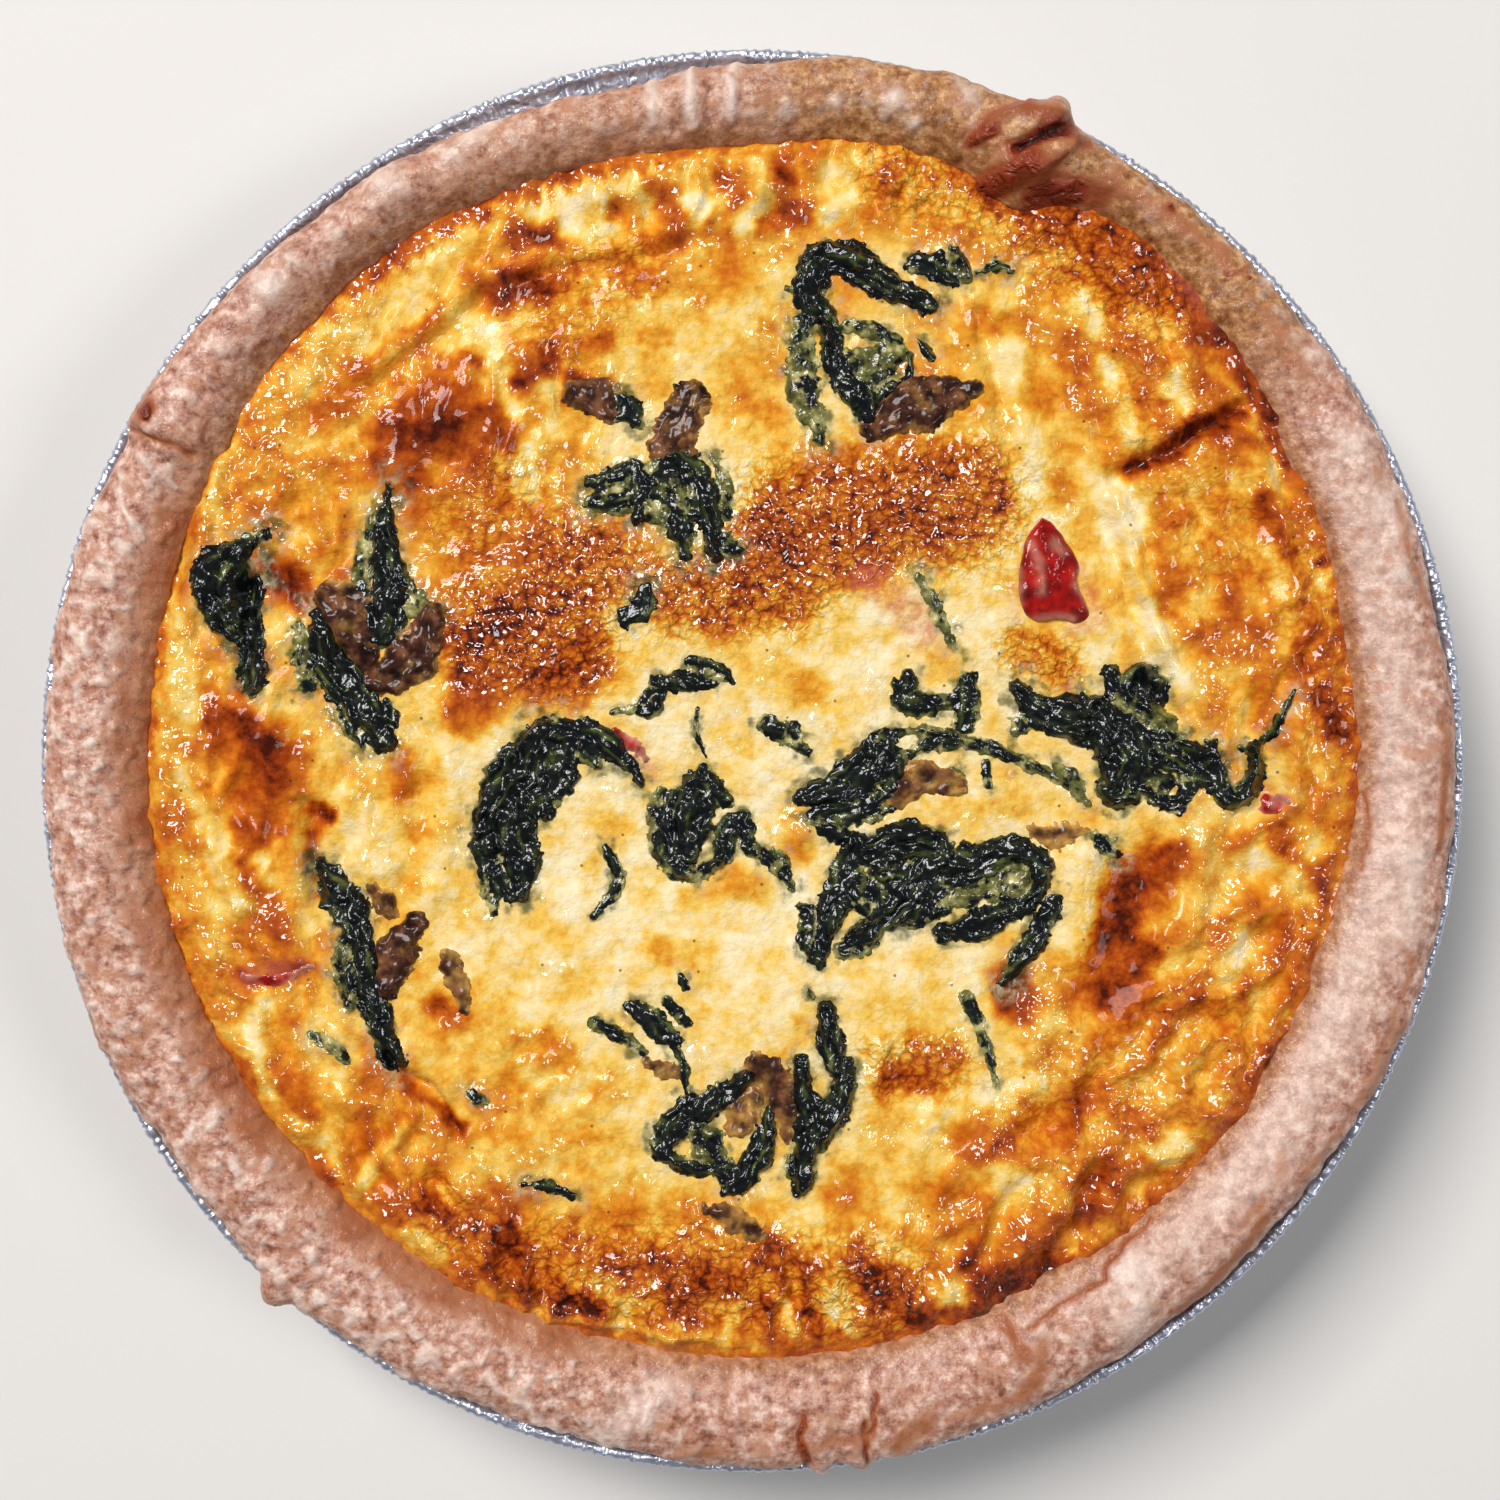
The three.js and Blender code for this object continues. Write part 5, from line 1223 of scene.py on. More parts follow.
MUSHROOM_FLAKES = [
    ([(-28, 57.4), (-25, 57), (-22.4, 54.4)], (4.0, 6.0, 3.2), 1.2, 0.0),
    ([(-47.6, -30.6), (-46.4, -34), (-45, -38)], (2.4, 3.6, 2.4), 1.0, 0.3),
    ([(-7.4, -69.6), (-3, -71.6), (1, -74)], (1.8, 3.6, 2.2), 0.8, 0.3),
    ([(1, -47.6), (4, -51.4), (5.4, -58.4)], (3.6, 5.6, 2.6), 1.0, 0.2),
    ([(-16.4, -47.4), (-10.6, -49)], (1.8, 3.2, 1.6), 0.8, 0.25),
    ([(43.6, -10.8), (47, -11.8), (52, -11)], (1.8, 3.4, 1.8), 0.8, 0.35),
    ([(-60, 26.6), (-57.4, 29)], (1.0, 2.0, 1.0), 0.7, 0.4),
]
PEPPER_SLIVERS = [
    ([(-21.6, 4.6), (-19, 3), (-16.6, 0.4)], (1.4, 2.6, 1.2), 0.6, 0.3),
    ([(-79.6, -33.6), (-74, -34.2), (-69, -32)], (1.0, 1.6, 1.0), 0.5, 0.2),
    ([(80, -7.4), (82.6, -6)], (2.0, 3.0, 2.0), 0.8, 0.25),
]
PEPPER_OUTLINE = [
    (45.2, 37.9), (48.2, 35.6), (50.7, 31), (50.5, 28.2), (52.6, 23.2), (50.4, 21.6), (47.4, 22.3), (44, 22),
    (42, 25), (41.8, 30), (42.7, 33.6), (43.6, 36),
]
# Where the egg has skinned over the pepper: path, half width, level, strength.
PEPPER_FILM = [
    ([(43.4, 34), (44.6, 31), (45, 26.5)], 0.5, 0.55, 1.0), ([(47, 34), (48.4, 32.6)], 0.6, 0.6, 1.0),
    ([(51.6, 30), (51, 27.6), (53, 24)], 0.7, 0.9, 1.0),
    ([(43, 21.6), (47.4, 22.2), (50, 22)], 0.5, 0.9, 1.0), ([(41.6, 24), (41.4, 30)], 0.4, 0.7, 1.0),
]

# How strongly each kind of topping is folded.
TOPPING_FOLDS = {"spinach": 1.0, "mushroom": 0.45}
# Pieces without a node of their own: name, strips, seed, folds.
FLAKES = [
    ("spinach_flakes", SPINACH_FLAKES, 9100, 0.6), ("mushroom_flakes", MUSHROOM_FLAKES, 9500, 0.4),
    ("pepper_slivers", PEPPER_SLIVERS, 9800, 0.3),
]
# The cells of a topping's grid, how far it goes beyond its paths, how deep its skin goes at its edge, and how
# far its underside is sunk in the filling.
TOPPING_GRID = 0.26
TOPPING_MARGIN = 4.5
TOPPING_DIP = 0.9
TOPPING_ROOT = 1.4
# How far a strip reaches to each side, as a share of its width: over half, as its ragged edge takes some off.
STRIP_REACH = 0.6

# The large piece of pepper, from its edge to its middle: share of the outline, height above the filling.
PEPPER_PROFILE = [
    (1.02, -1.3), (1.03, -0.1), (1.0, 0.5), (0.96, 0.85), (0.9, 1.05), (0.8, 1.15), (0.7, 1.1), (0.6, 1.05),
    (0.5, 1.0), (0.4, 1.0), (0.3, 1.0), (0.2, 1.05), (0.1, 1.05),
]
# Steps round its outline.
PEPPER_STEPS = 120


def strip_frame(x, y, path, widths):
    """How far inside a strip each place is, how far along it and how far across it, all in millimetres."""
    fine = curve_between(np.array(path, float), 7 * len(path))
    steps = np.hypot(*np.diff(fine, axis=0).T)
    starts = np.concatenate([[0], np.cumsum(steps)])
    best = np.full(x.shape, 1e9)
    along, across = np.zeros(x.shape), np.zeros(x.shape)
    for i, step in enumerate(steps):
        tangent = (fine[i + 1] - fine[i]) / step
        dx, dy = x - fine[i][0], y - fine[i][1]
        reach = np.clip(dx * tangent[0] + dy * tangent[1], 0, step)
        away = np.hypot(dx - reach * tangent[0], dy - reach * tangent[1])
        closer = away < best
        best = np.where(closer, away, best)
        along = np.where(closer, starts[i] + reach, along)
        across = np.where(closer, np.copysign(away, tangent[0] * dy - tangent[1] * dx), across)
    half = STRIP_REACH * np.interp(along / starts[-1], (0, 0.5, 1), widths)
    return half - best, along, across


def strip_lift(x, y, strip, seed, folds):
    """A strip's height above the filling (below it where there is none), its skin of egg and its streaks."""
    path, widths, height, film = strip
    inside, along, across = strip_frame(x, y, path, widths)
    ragged = 0.9 * flat_fractal(x, y, 2.8, seed, 2, seed) + 0.5 * flat_fractal(x, y, 0.9, seed + 2, 2)
    inside = inside + ragged * min(1.0, 0.32 * widths[1])
    body = smooth(-0.3, 1.3, inside)
    across = across + 0.8 * flat_fractal(x, y, 3.4, seed + 7, 2)
    rolls = np.abs(noise(across / 3.0, along / 7, across * 0 + 0.37 * seed, seed + 3))
    tucks = np.abs(noise(across / 1.5, along / 4, across * 0, seed + 4))
    crumple = flat_fractal(x, y, 2.0, seed + 5, 2)
    lift = height * body * (0.52 + folds * (1.1 * rolls + 0.4 * tucks - 0.30)) + 0.5 * folds * crumple * body
    lift = lift - TOPPING_DIP * smooth(0.2, -0.5, inside)
    skin = film + 0.40 * flat_fractal(x, y, 2.4, seed + 6, 3, 3) + 0.35 * smooth(1.1, -0.3, inside)
    streak = 0.5 + 1.2 * noise(across / 0.9, along / 6, across * 0, seed + 8)
    return lift, skin, streak


def cells_shell(x, y, top, bottom, chosen):
    """A closed shell over the chosen cells of a grid, between two heights at each corner."""
    size = x.size
    corners = cell_corners(np.arange(size).reshape(x.shape))
    quads = np.stack([corner[chosen] for corner in corners], axis=-1)
    walled = np.pad(chosen, 1)
    sides = []
    for shift, (a, b) in (((-1, 0), (0, 1)), ((0, 1), (1, 2)), ((1, 0), (2, 3)), ((0, -1), (3, 0))):
        beyond = np.roll(walled, (-shift[0], -shift[1]), axis=(0, 1))[1:-1, 1:-1]
        open_side = chosen & ~beyond
        first, second = corners[a][open_side], corners[b][open_side]
        sides.append(np.stack([second, first, first + size, second + size], axis=-1))
    faces = np.concatenate([quads, quads[:, ::-1] + size, *sides])
    used, faces = np.unique(faces, return_inverse=True)
    places = np.concatenate([np.stack([x, y, z], axis=-1).reshape(-1, 3) for z in (top, bottom)])
    return places[used], faces.reshape(-1, 4), used % size


def plan_grid(strips):
    """A level grid over the paths of some strips."""
    points = np.concatenate([np.array(strip[0], float) for strip in strips])
    low, high = points.min(axis=0) - TOPPING_MARGIN, points.max(axis=0) + TOPPING_MARGIN
    return np.meshgrid(*(np.arange(first, last, TOPPING_GRID) for first, last in zip(low, high)))


def strips_piece(name, strips, seed, folds):
    """The folds of one clump as a single closed skin that comes up through the filling."""
    x, y = plan_grid(strips)
    lift = np.full(x.shape, -9.0)
    film, streak = np.zeros(x.shape), np.zeros(x.shape)
    for i, strip in enumerate(strips):
        here = near_path(x, y, strip[0], TOPPING_MARGIN)
        one, skin, lines = strip_lift(x[here], y[here], strip, seed + 10 * i, folds)
        above = one > lift[here]
        film[here] = np.where(above, skin, film[here])
        streak[here] = np.where(above, lines, streak[here])
        lift[here] = np.maximum(lift[here], one)
    chosen = np.any(cell_corners(lift > 0.05 - TOPPING_DIP), axis=0)
    near = np.zeros(x.shape, bool)
    for corner in cell_corners(near):
        corner |= chosen
    ground = np.zeros(x.shape)
    ground[near] = filling_height(x[near], y[near])
    top = ground + np.maximum(lift, -TOPPING_DIP)
    places, faces, source = cells_shell(x, y, top, ground - TOPPING_ROOT, chosen)
    attributes = {"film": smooth(0.1, 0.75, film).reshape(-1)[source], "streak": streak.reshape(-1)[source]}
    return mesh_piece(name, places, faces, attributes)


def make_toppings(materials):
    for number, (node, strips) in enumerate(TOPPINGS.items()):
        slot = node.split("_")[0]
        piece = strips_piece(f"{node}_cooked", strips, 300 + 200 * number, TOPPING_FOLDS[slot])
        finish_piece(piece, slot, materials[slot], node)
    for name, strips, seed, folds in FLAKES:
        slot = name.split("_")[0]
        finish_piece(strips_piece(name, strips, seed, folds), slot, materials[slot])


def make_pepper(material):
    """The large piece of pepper: rings that shrink from its outline to its middle, over the filling."""
    closed = np.array([*PEPPER_OUTLINE, PEPPER_OUTLINE[0]], float)
    outline = curve_between(closed, PEPPER_STEPS + 1)[:-1]
    outline = outline + np.column_stack(sway(*outline.T, 0.35, 3, 63))
    middle = outline.mean(axis=0)
    rings = []
    for share, lift in PEPPER_PROFILE:
        x, y = (middle + (outline - middle) * share).T
        ripple = 0.4 * flat_fractal(x / 2.2, y, 3.2, 61, 3) * (lift > 0.2)
        rings.append(np.stack([x, y, filling_height(x, y) + lift + ripple], axis=-1))
    top = float(filling_height(*middle[:, None])[0]) + PEPPER_PROFILE[-1][1]
    vertices = np.concatenate([*rings, [[*middle, top]]])
    pole = len(vertices) - 1
    faces = [*ring_faces(len(rings), PEPPER_STEPS).tolist(), np.arange(PEPPER_STEPS)[::-1].tolist()]
    faces += fan_faces(pole, pole - PEPPER_STEPS, PEPPER_STEPS, False).tolist()
    x, y = vertices[:, 0], vertices[:, 1]
    film = paint(np.zeros(x.shape), x + 0.6 * flat_fractal(x, y, 2, 62, 3), y, PEPPER_FILM)
    piece = mesh_piece("pepper_cooked", vertices, faces, {"film": film})
    finish_piece(piece, "pepper", material, "pepper_large")


# ---- filling ----

# The cells along each side of the filling's grid.
FILLING_CELLS = 300
# How far the filling's edge goes into the rim, and how far it dips there.
FILLING_OVERLAP = 0.5
FILLING_DIP = 0.5
# Its wall: the share of the edge's radius at the flange's height, and the (radius, height) of its foot.
FILLING_WAIST = 0.93
FILLING_FOOT = (TIN_BASE_RADIUS - PASTRY - 1.5, PASTRY + 1.6)


def green_halo(x, y):
    """How far the leaves near a place have tinted the egg, from 0 to 1."""
    nearest = np.full(np.shape(x), 1e9)
    leafy = [strips for node, strips in TOPPINGS.items() if node.startswith("spinach")]
    for strips in [*leafy, SPINACH_FLAKES]:
        for path, widths, _, _ in strips:
            here = near_path(x, y, path, 10)
            away = distance_to_path(x[here], y[here], path) - widths[1] / 2
            nearest[here] = np.minimum(nearest[here], away)
    return smooth(2.2, -0.8, nearest + 1.8 * flat_fractal(x, y, 3.5, 31, 3))


def disc_grid(cells):
    """A square grid bent into a disc of radius 1, with nearly even cells."""
    steps = np.linspace(-1, 1, cells + 1)
    a, b = np.meshgrid(steps, steps)
    wide = np.abs(a) >= np.abs(b)
    longest, shorter = np.where(wide, a, b), np.where(wide, b, a)
    turn = np.pi / 4 * shorter / np.where(longest == 0, 1, longest)
    turn = np.where(wide, turn, np.pi / 2 - turn)
    return longest * np.cos(turn), longest * np.sin(turn)


def filling_walls(edge):
    """The two rings below the top's edge: at the flange's height, and on the pastry's base."""
    radius = np.hypot(*edge.T)
    foot_radius, foot_height = FILLING_FOOT
    rings = ((radius * FILLING_WAIST, TIN_FLANGE_HEIGHT), (np.full(len(edge), foot_radius), foot_height))
    return [np.column_stack([edge * (want / radius)[:, None], np.full(len(edge), height)])
            for want, height in rings]


def make_filling(material):
    """A disc that follows the rim's inner edge, browned and folded on top and closed underneath."""
    x, y = disc_grid(FILLING_CELLS)
    reach = np.hypot(x, y)
    edge = rim_at(np.arctan2(y, x))[1] + FILLING_OVERLAP
    x, y = x * edge, y * edge
    z = filling_height(x, y) - FILLING_DIP * smooth(0.985, 1.0, reach)
    top = np.stack([x, y, z], axis=-1).reshape(-1, 3)

    index = np.arange(x.size).reshape(x.shape)
    border = np.concatenate([index[0, :-1], index[:-1, -1], index[-1, :0:-1], index[:0:-1, 0]])
    count = len(border)
    vertices = np.concatenate([top, *filling_walls(top[border, :2])])
    rings = [border, len(top) + np.arange(count), len(top) + count + np.arange(count)]
    faces = np.stack(cell_corners(index), axis=-1).reshape(-1, 4).tolist()
    for upper, lower in zip(rings[:-1], rings[1:]):
        faces += np.stack([upper, lower, np.roll(lower, -1), np.roll(upper, -1)], axis=-1).tolist()
    faces.append(rings[-1][::-1].tolist())

    brown = browning_at(x, y)
    marks = {"brown": brown, "pebbled": paint(np.full(x.shape, 0.12), x, y, PEBBLED),
             "green": green_halo(x, y), "glazed": glaze_at(x, y, brown),
             "stained": paint(np.zeros(x.shape), x, y, STAINED)}
    marks = {key: np.append(values.reshape(-1), np.zeros(2 * count)) for key, values in marks.items()}
    finish_piece(mesh_piece("filling_baked", vertices, faces, marks), "filling", material, "egg_filling")


# ---- pastry ----

# Places on the rim are (degrees round, radius). RIM_ARC is the arc length of a degree there.
RIM_ARC = 1.85

# Cracks in the rim, which are both browned and sunk, and the hollow in the torn blister.
LEFT_JOIN = [(152.1, 111), (152, 107), (151.5, 103), (151.3, 99)]
FRONT_CRACKS = [
    [(274.2, 111), (274, 105), (274.3, 102)], [(279.2, 111), (279.5, 104)], [(280, 106), (281, 100)],
    [(296, 97.6), (299.5, 97), (304, 97.2), (306, 95.2), (311, 94.4)],
]
RIGHT_CRACK = [(350, 96), (353, 96.4), (357, 95.6)]
BLISTER_HOLLOW = [(63.8, 109), (65.2, 106.4), (66.8, 103)]

# Browned marks: path, half width, level, strength.
RIM_BROWNING = [
    ([(0, 108.3), (4, 107.2)], 1.2, 0.3, 0.8), ([(13.5, 107.6), (17, 106.6), (22, 107.6)], 0.9, 0.3, 0.8),
    ([(35, 104.4), (41, 105.6)], 1.4, 0.3, 0.8), ([(45, 109), (45.6, 106)], 0.5, 0.45, 0.9),
    ([(47, 107), (53, 106.6), (59, 104.6)], 1.5, 0.32, 0.8), ([(44.2, 107.1)], 0.4, 0.95, 0.95),
    ([(46, 105.3)], 0.3, 0.9, 0.95), ([(53, 107.4)], 0.45, 1.0, 0.95),
    ([(58, 103), (63, 101)], 1.6, 0.5, 0.9), ([(60.5, 101.5), (62, 99.6), (63.5, 98.4)], 1.6, 0.78, 0.95),
    ([(62, 108), (64.5, 110), (68, 109), (70, 105)], 1.6, 0.5, 0.9),
    ([(65, 101.5), (66.5, 98.5), (68, 96.8)], 2.2, 0.68, 0.95), ([(69, 104), (70.5, 102)], 1.2, 0.7, 0.9),
    ([(63, 105), (63.6, 102.5)], 0.9, 0.6, 0.9), (BLISTER_HOLLOW, 1.3, 1.0, 0.98),
    ([(149.8, 108.4)], 2.4, 0.34, 0.8), ([(149.8, 108.4), (150.2, 107.6)], 0.9, 0.9, 0.95),
    (LEFT_JOIN, 0.35, 0.55, 0.9), ([(264, 107.5), (267, 108.2)], 1.1, 0.3, 0.8),
    (FRONT_CRACKS[0], 0.4, 0.8, 0.9), (FRONT_CRACKS[1], 0.4, 0.75, 0.9), (FRONT_CRACKS[2], 0.4, 0.7, 0.9),
    ([(275, 107), (280, 106.3)], 0.9, 0.34, 0.8), ([(282, 109), (285, 105.4)], 1.7, 0.34, 0.8),
    ([(287, 106.4), (292, 107)], 1.0, 0.28, 0.8), ([(293, 107), (295.5, 104), (296.5, 101)], 1.5, 0.36, 0.85),
    ([(294.6, 101), (294, 95.5)], 1.5, 0.4, 0.85), ([(303, 108.6), (308, 108.2)], 0.8, 0.26, 0.7),
    ([(308, 108.8), (313, 107.6), (318, 106.6)], 1.1, 0.4, 0.85),
    ([(316.5, 104.2), (319.5, 104)], 0.9, 0.32, 0.8), ([(322, 104.4), (323.4, 102)], 1.2, 0.26, 0.7),
    ([(322, 106.8), (330, 107.4), (343, 106.8)], 0.8, 0.3, 0.8), ([(331, 109), (338, 109.2)], 1.1, 0.3, 0.8),
    ([(343, 107), (344, 104)], 1.0, 0.28, 0.7), ([(353, 107.2), (360, 107.8)], 0.9, 0.42, 0.85),
    (FRONT_CRACKS[3], 0.3, 0.6, 0.9), (RIGHT_CRACK, 0.3, 0.5, 0.9),
]

# Pale, smooth swellings: path, half width, rise.
RIM_SWELLS = [
    ([(22, 106.5)], 3.0, 0.4), ([(28, 105)], 3.2, 0.4), ([(16.5, 105)], 1.4, 0.3), ([(36, 108)], 2.0, 0.3),
    ([(43, 109)], 1.0, 0.4), ([(48, 108.6)], 1.0, 0.4), ([(54, 105)], 1.4, 0.4), ([(72, 108)], 2.0, 0.4),
    ([(76, 101.6)], 1.4, 0.5), ([(78, 105)], 2.0, 0.6), ([(83, 103)], 1.4, 0.5), ([(87, 101)], 1.4, 0.4),
    ([(91.5, 108), (92, 100)], 0.9, 0.5), ([(95, 108), (95.6, 99)], 1.0, 0.6),
    ([(98.5, 107), (99, 100)], 0.9, 0.5), ([(112, 107.4), (116, 104.6)], 1.8, 0.4),
    ([(122.5, 106)], 3.0, 0.5), ([(128.4, 104)], 1.4, 0.4), ([(133, 105.6)], 1.4, 0.4),
    ([(135.6, 105)], 2.6, 0.6), ([(142, 104.4)], 1.6, 0.4), ([(170, 100.6)], 1.6, 0.4),
    ([(257, 109), (262, 98)], 2.6, 0.4), ([(304, 105), (307, 98)], 3.0, 0.4),
    ([(345, 105), (352, 104)], 2.4, 0.3),
]

# Cracks, creases and the torn blister: path, half width, rise.
RIM_CREASES = [
    (LEFT_JOIN, 0.6, -1.0), ([(97.3, 108), (97.2, 98)], 0.8, -0.6), ([(93.4, 108), (93.8, 99)], 0.7, -0.5),
    (FRONT_CRACKS[0], 0.5, -0.9), (FRONT_CRACKS[1], 0.5, -0.8), (FRONT_CRACKS[2], 0.5, -0.7),
    (FRONT_CRACKS[3], 0.45, -0.6), (RIGHT_CRACK, 0.45, -0.5), ([(293, 106), (295, 96)], 1.2, -0.5),
    ([(62.6, 108), (63.4, 105), (64, 102)], 1.1, 0.9), ([(67, 110), (68.6, 107), (69.8, 103)], 1.2, 1.0),
    (BLISTER_HOLLOW, 1.3, -2.6), ([(149.8, 108.2)], 1.4, 0.4), ([(65, 101), (67.5, 97.5)], 1.8, 0.7),
]


def on_rim(strokes):
    """The same strokes with their degrees turned into arc length."""
    return [([(turn * RIM_ARC, radius) for turn, radius in path], *rest) for path, *rest in strokes]


def rim_blisters(x, y, z, left):
    """Small round blisters and finer specks, stronger along the left."""
    radius = np.hypot(x, y)
    ax, ay = x * ROLL_RADIUS / np.maximum(radius, 1), y * ROLL_RADIUS / np.maximum(radius, 1)
    blisters = smooth(0.12, 0.5, noise(ax / 2.3, ay / 2.3, radius / 2.6, 51)) * (0.35 + 0.65 * left)
    specks = smooth(0.15, 0.5, fractal(x, y, z, 1.3, 53, 2)) * (0.4 + 0.6 * left)
    return blisters, specks


def rim_toasting_and_shade(x, y, z, left, edge):
    """How brown the rim is between its marks: toasting beside the filling, with painted shade added on the
    inner slope from the back round the left, and reddish patches all over.
    """
    turn = turn_at(x, y)
    patchy = 1 + 0.5 * fractal(x, y, z, 5, 52, 2)
    # painted shade: the inner slope from the back round the left faces away from the light and is made
    # browner, over some real toasting
    toasted_and_shaded = 0.08 + 0.07 * smooth(95, 110, turn) * smooth(275, 225, turn) + 0.13 * left
    browned = toasted_and_shaded * smooth(7.5, 1.5, edge) * patchy * np.maximum(left, smooth(0.2, 2.4, edge))
    reddish = 0.2 * smooth(0.05, 0.5, fractal(x, y, z, 3.4, 54, 3))
    return np.maximum(browned, reddish * (1 - 0.6 * smooth(300, 330, turn)))


def rim_gold(x, y, z, edge):
    """How golden the rim is: most at the upper right, fading over the top, and beside the filling."""
    wide = turn_at(x, y) + 4 * fractal(x, y, z, 8, 48, 3)
    golden = smooth(32, 44, wide) * smooth(94, 82, wide) + 0.3 * smooth(92, 98, wide) * smooth(140, 104, wide)
    golden = np.maximum(golden, 0.6 * smooth(2.4, 0.5, edge + 0.6 * fractal(x, y, z, 2.5, 47, 2)))
    return np.clip(golden, 0, 1)


def rim_marks(points, inner):
    """(rise, browned, golden, pale) for each place on the pastry's surface, where browned also holds painted
    shade and pale also holds painted light.
    """
    x, y, z = np.moveaxis(points, -1, 0)
    radius, turn = np.hypot(x, y), turn_at(x, y)
    arc = turn * RIM_ARC + 0.8 * fractal(x, y, z, 4, 45, 2)
    deep = radius + 0.5 * fractal(x, y, z, 3, 46, 2)
    edge = radius - inner
    left = smooth(140, 160, turn) * smooth(275, 250, turn)

    blisters, specks = rim_blisters(x, y, z, left)
    swells = raise_along(np.zeros_like(x), arc, deep, on_rim(RIM_SWELLS))
    rough = 0.5 * fractal(x, y, z, 9, 43, 2) + 0.22 * fractal(x, y, z, 3.2, 44, 2)
    rise = rough + 0.45 * blisters + 0.16 * specks + swells
    rise = rise + raise_along(np.zeros_like(x), arc, deep, on_rim(RIM_CREASES))

    browned = paint(rim_toasting_and_shade(x, y, z, left, edge), arc, deep, on_rim(RIM_BROWNING))
    # painted light: the inner slope from the front right round the right faces the light and is made paler
    lit_inner_slope = 0.35 * (smooth(290, 320, turn) + smooth(34, 20, turn)) * smooth(13, 4, edge)
    pale = 0.5 * blisters + 0.4 * specks + 1.2 * np.maximum(swells, 0) + lit_inner_slope
    return rise, browned, rim_gold(x, y, z, edge), np.clip(pale * smooth(0.5, 3.0, edge), 0, 0.9)


# Steps round the pastry, and over its rolled rim.
PASTRY_STEPS = 1500
ROLL_STEPS = 54
# Where the pastry lies on the flange, where its base lies in the tin, and how near it comes to the lip.
ON_FLANGE = TIN_FLANGE_HEIGHT + FOIL + 0.4
PASTRY_FLOOR = FOIL + 0.3
LIP_INSIDE = TIN_RADIUS - 2 * LIP_RADIUS - 0.5


def pastry_rings(outer, inner, crown):
    """Rings of (radius, height) from under the base, up the outside, over the roll and down the inside."""
    def share(part):
        return outer + (inner - outer) * part

    below = [(TIN_BASE_RADIUS - 2.6, PASTRY_FLOOR), (TIN_BASE_RADIUS - 1.1, PASTRY_FLOOR + 1.3),
             (TIN_FLANGE_RADIUS - 2.5, TIN_FLANGE_HEIGHT - 0.9)]
    shoulder = FILLING_LEVEL + 0.9
    roll = [
        (TIN_FLANGE_RADIUS - 0.4, ON_FLANGE), (np.minimum(LIP_INSIDE - 0.6, outer - 1.2), ON_FLANGE + 0.15),
        (np.minimum(LIP_INSIDE, outer - 0.3), ON_FLANGE + 1.4), (outer, ON_FLANGE + 2.7),
        (share(0.07), 0.5 * (ON_FLANGE + 2.7 + crown)), (share(0.2), crown - 0.7), (share(0.35), crown),
        (share(0.5), crown + 0.2), (share(0.64), crown - 0.1), (share(0.77), crown - 0.8),
        (share(0.88), 0.5 * (crown - 0.8 + shoulder)), (share(0.98), shoulder),
        (inner - 1.0, FILLING_LEVEL - 0.6),
    ]
    inside = [(np.minimum(inner - 0.3, TIN_FLANGE_RADIUS - 6.2), TIN_FLANGE_HEIGHT - 0.7),
              (TIN_BASE_RADIUS - 4.4, 6.2), (TIN_BASE_RADIUS - 6.0, PASTRY_FLOOR + PASTRY)]
    below, roll, inside = (ring_stack(part, len(outer)) for part in (below, roll, inside))
    return np.concatenate([below, curve_between(roll, ROLL_STEPS), inside])


def make_pastry(material):
    """The case: a wall and base inside the tin, and the rolled rim that laps over the flange."""
    angle = np.linspace(0, 2 * np.pi, PASTRY_STEPS, endpoint=False)
    outer, inner, crown = rim_at(angle)
    inner = inner + 0.3 * round_fractal(angle, EDGE_RADIUS, 5, 41, 3)
    outer = outer - 0.3 + 0.4 * round_fractal(angle, 110, 8, 42, 3)
    points = round_places(pastry_rings(outer, inner, crown), angle)
    rise, browned, golden, pale = rim_marks(points, inner)
    shown = smooth(ON_FLANGE + 1.0, ON_FLANGE + 2.6, points[..., 2])
    points = points + grid_normals(points) * (rise * shown)[..., None]

    vertices, faces = closed_rings(points, PASTRY_FLOOR, PASTRY_FLOOR + PASTRY)
    # the brown mark holds painted shade and the pale mark painted light, beside the real browning and
    # paleness
    marks = {"brown": browned, "golden": golden, "pale": pale}
    marks = {key: np.append(values.reshape(-1), (0, 0)) for key, values in marks.items()}
    finish_piece(mesh_piece("pastry_baked", vertices, faces, marks), "pastry", material, "pastry_case")


# ---- foil tin ----

# Steps round the tin, the crimps of its lip and the pleats of its wall.
TIN_STEPS = 2800
TIN_CRIMPS = 430
TIN_PLEATS = 40
WALL_FOOT = TIN_BASE_RADIUS + 0.6
WALL_FOOT_HEIGHT = 2.4


def lip_rings(crimp):
    """The curl of the lip, from below it on the outside, over it and down to its inside."""
    middle = (TIN_RADIUS - LIP_RADIUS, TIN_FLANGE_HEIGHT + LIP_RADIUS)
    rings = []
    for turn in np.radians(np.linspace(-90, 160, 11)):
        size = LIP_RADIUS - 0.22 + 0.22 * crimp * smooth(-1.2, 0.2, math.sin(turn))
        rings.append((middle[0] + size * math.cos(turn), middle[1] + size * math.sin(turn)))
    return rings


def wall_rings(pleat):
    """The outside of the wall, from the foot up to near the flange."""
    rings = []
    for share in np.linspace(0.15, 0.9, 5):
        radius = WALL_FOOT + share * (TIN_FLANGE_RADIUS - 1.8 - TIN_BASE_RADIUS)
        rings.append((radius + pleat, WALL_FOOT_HEIGHT + share * (TIN_FLANGE_HEIGHT - 3.6)))
    return rings


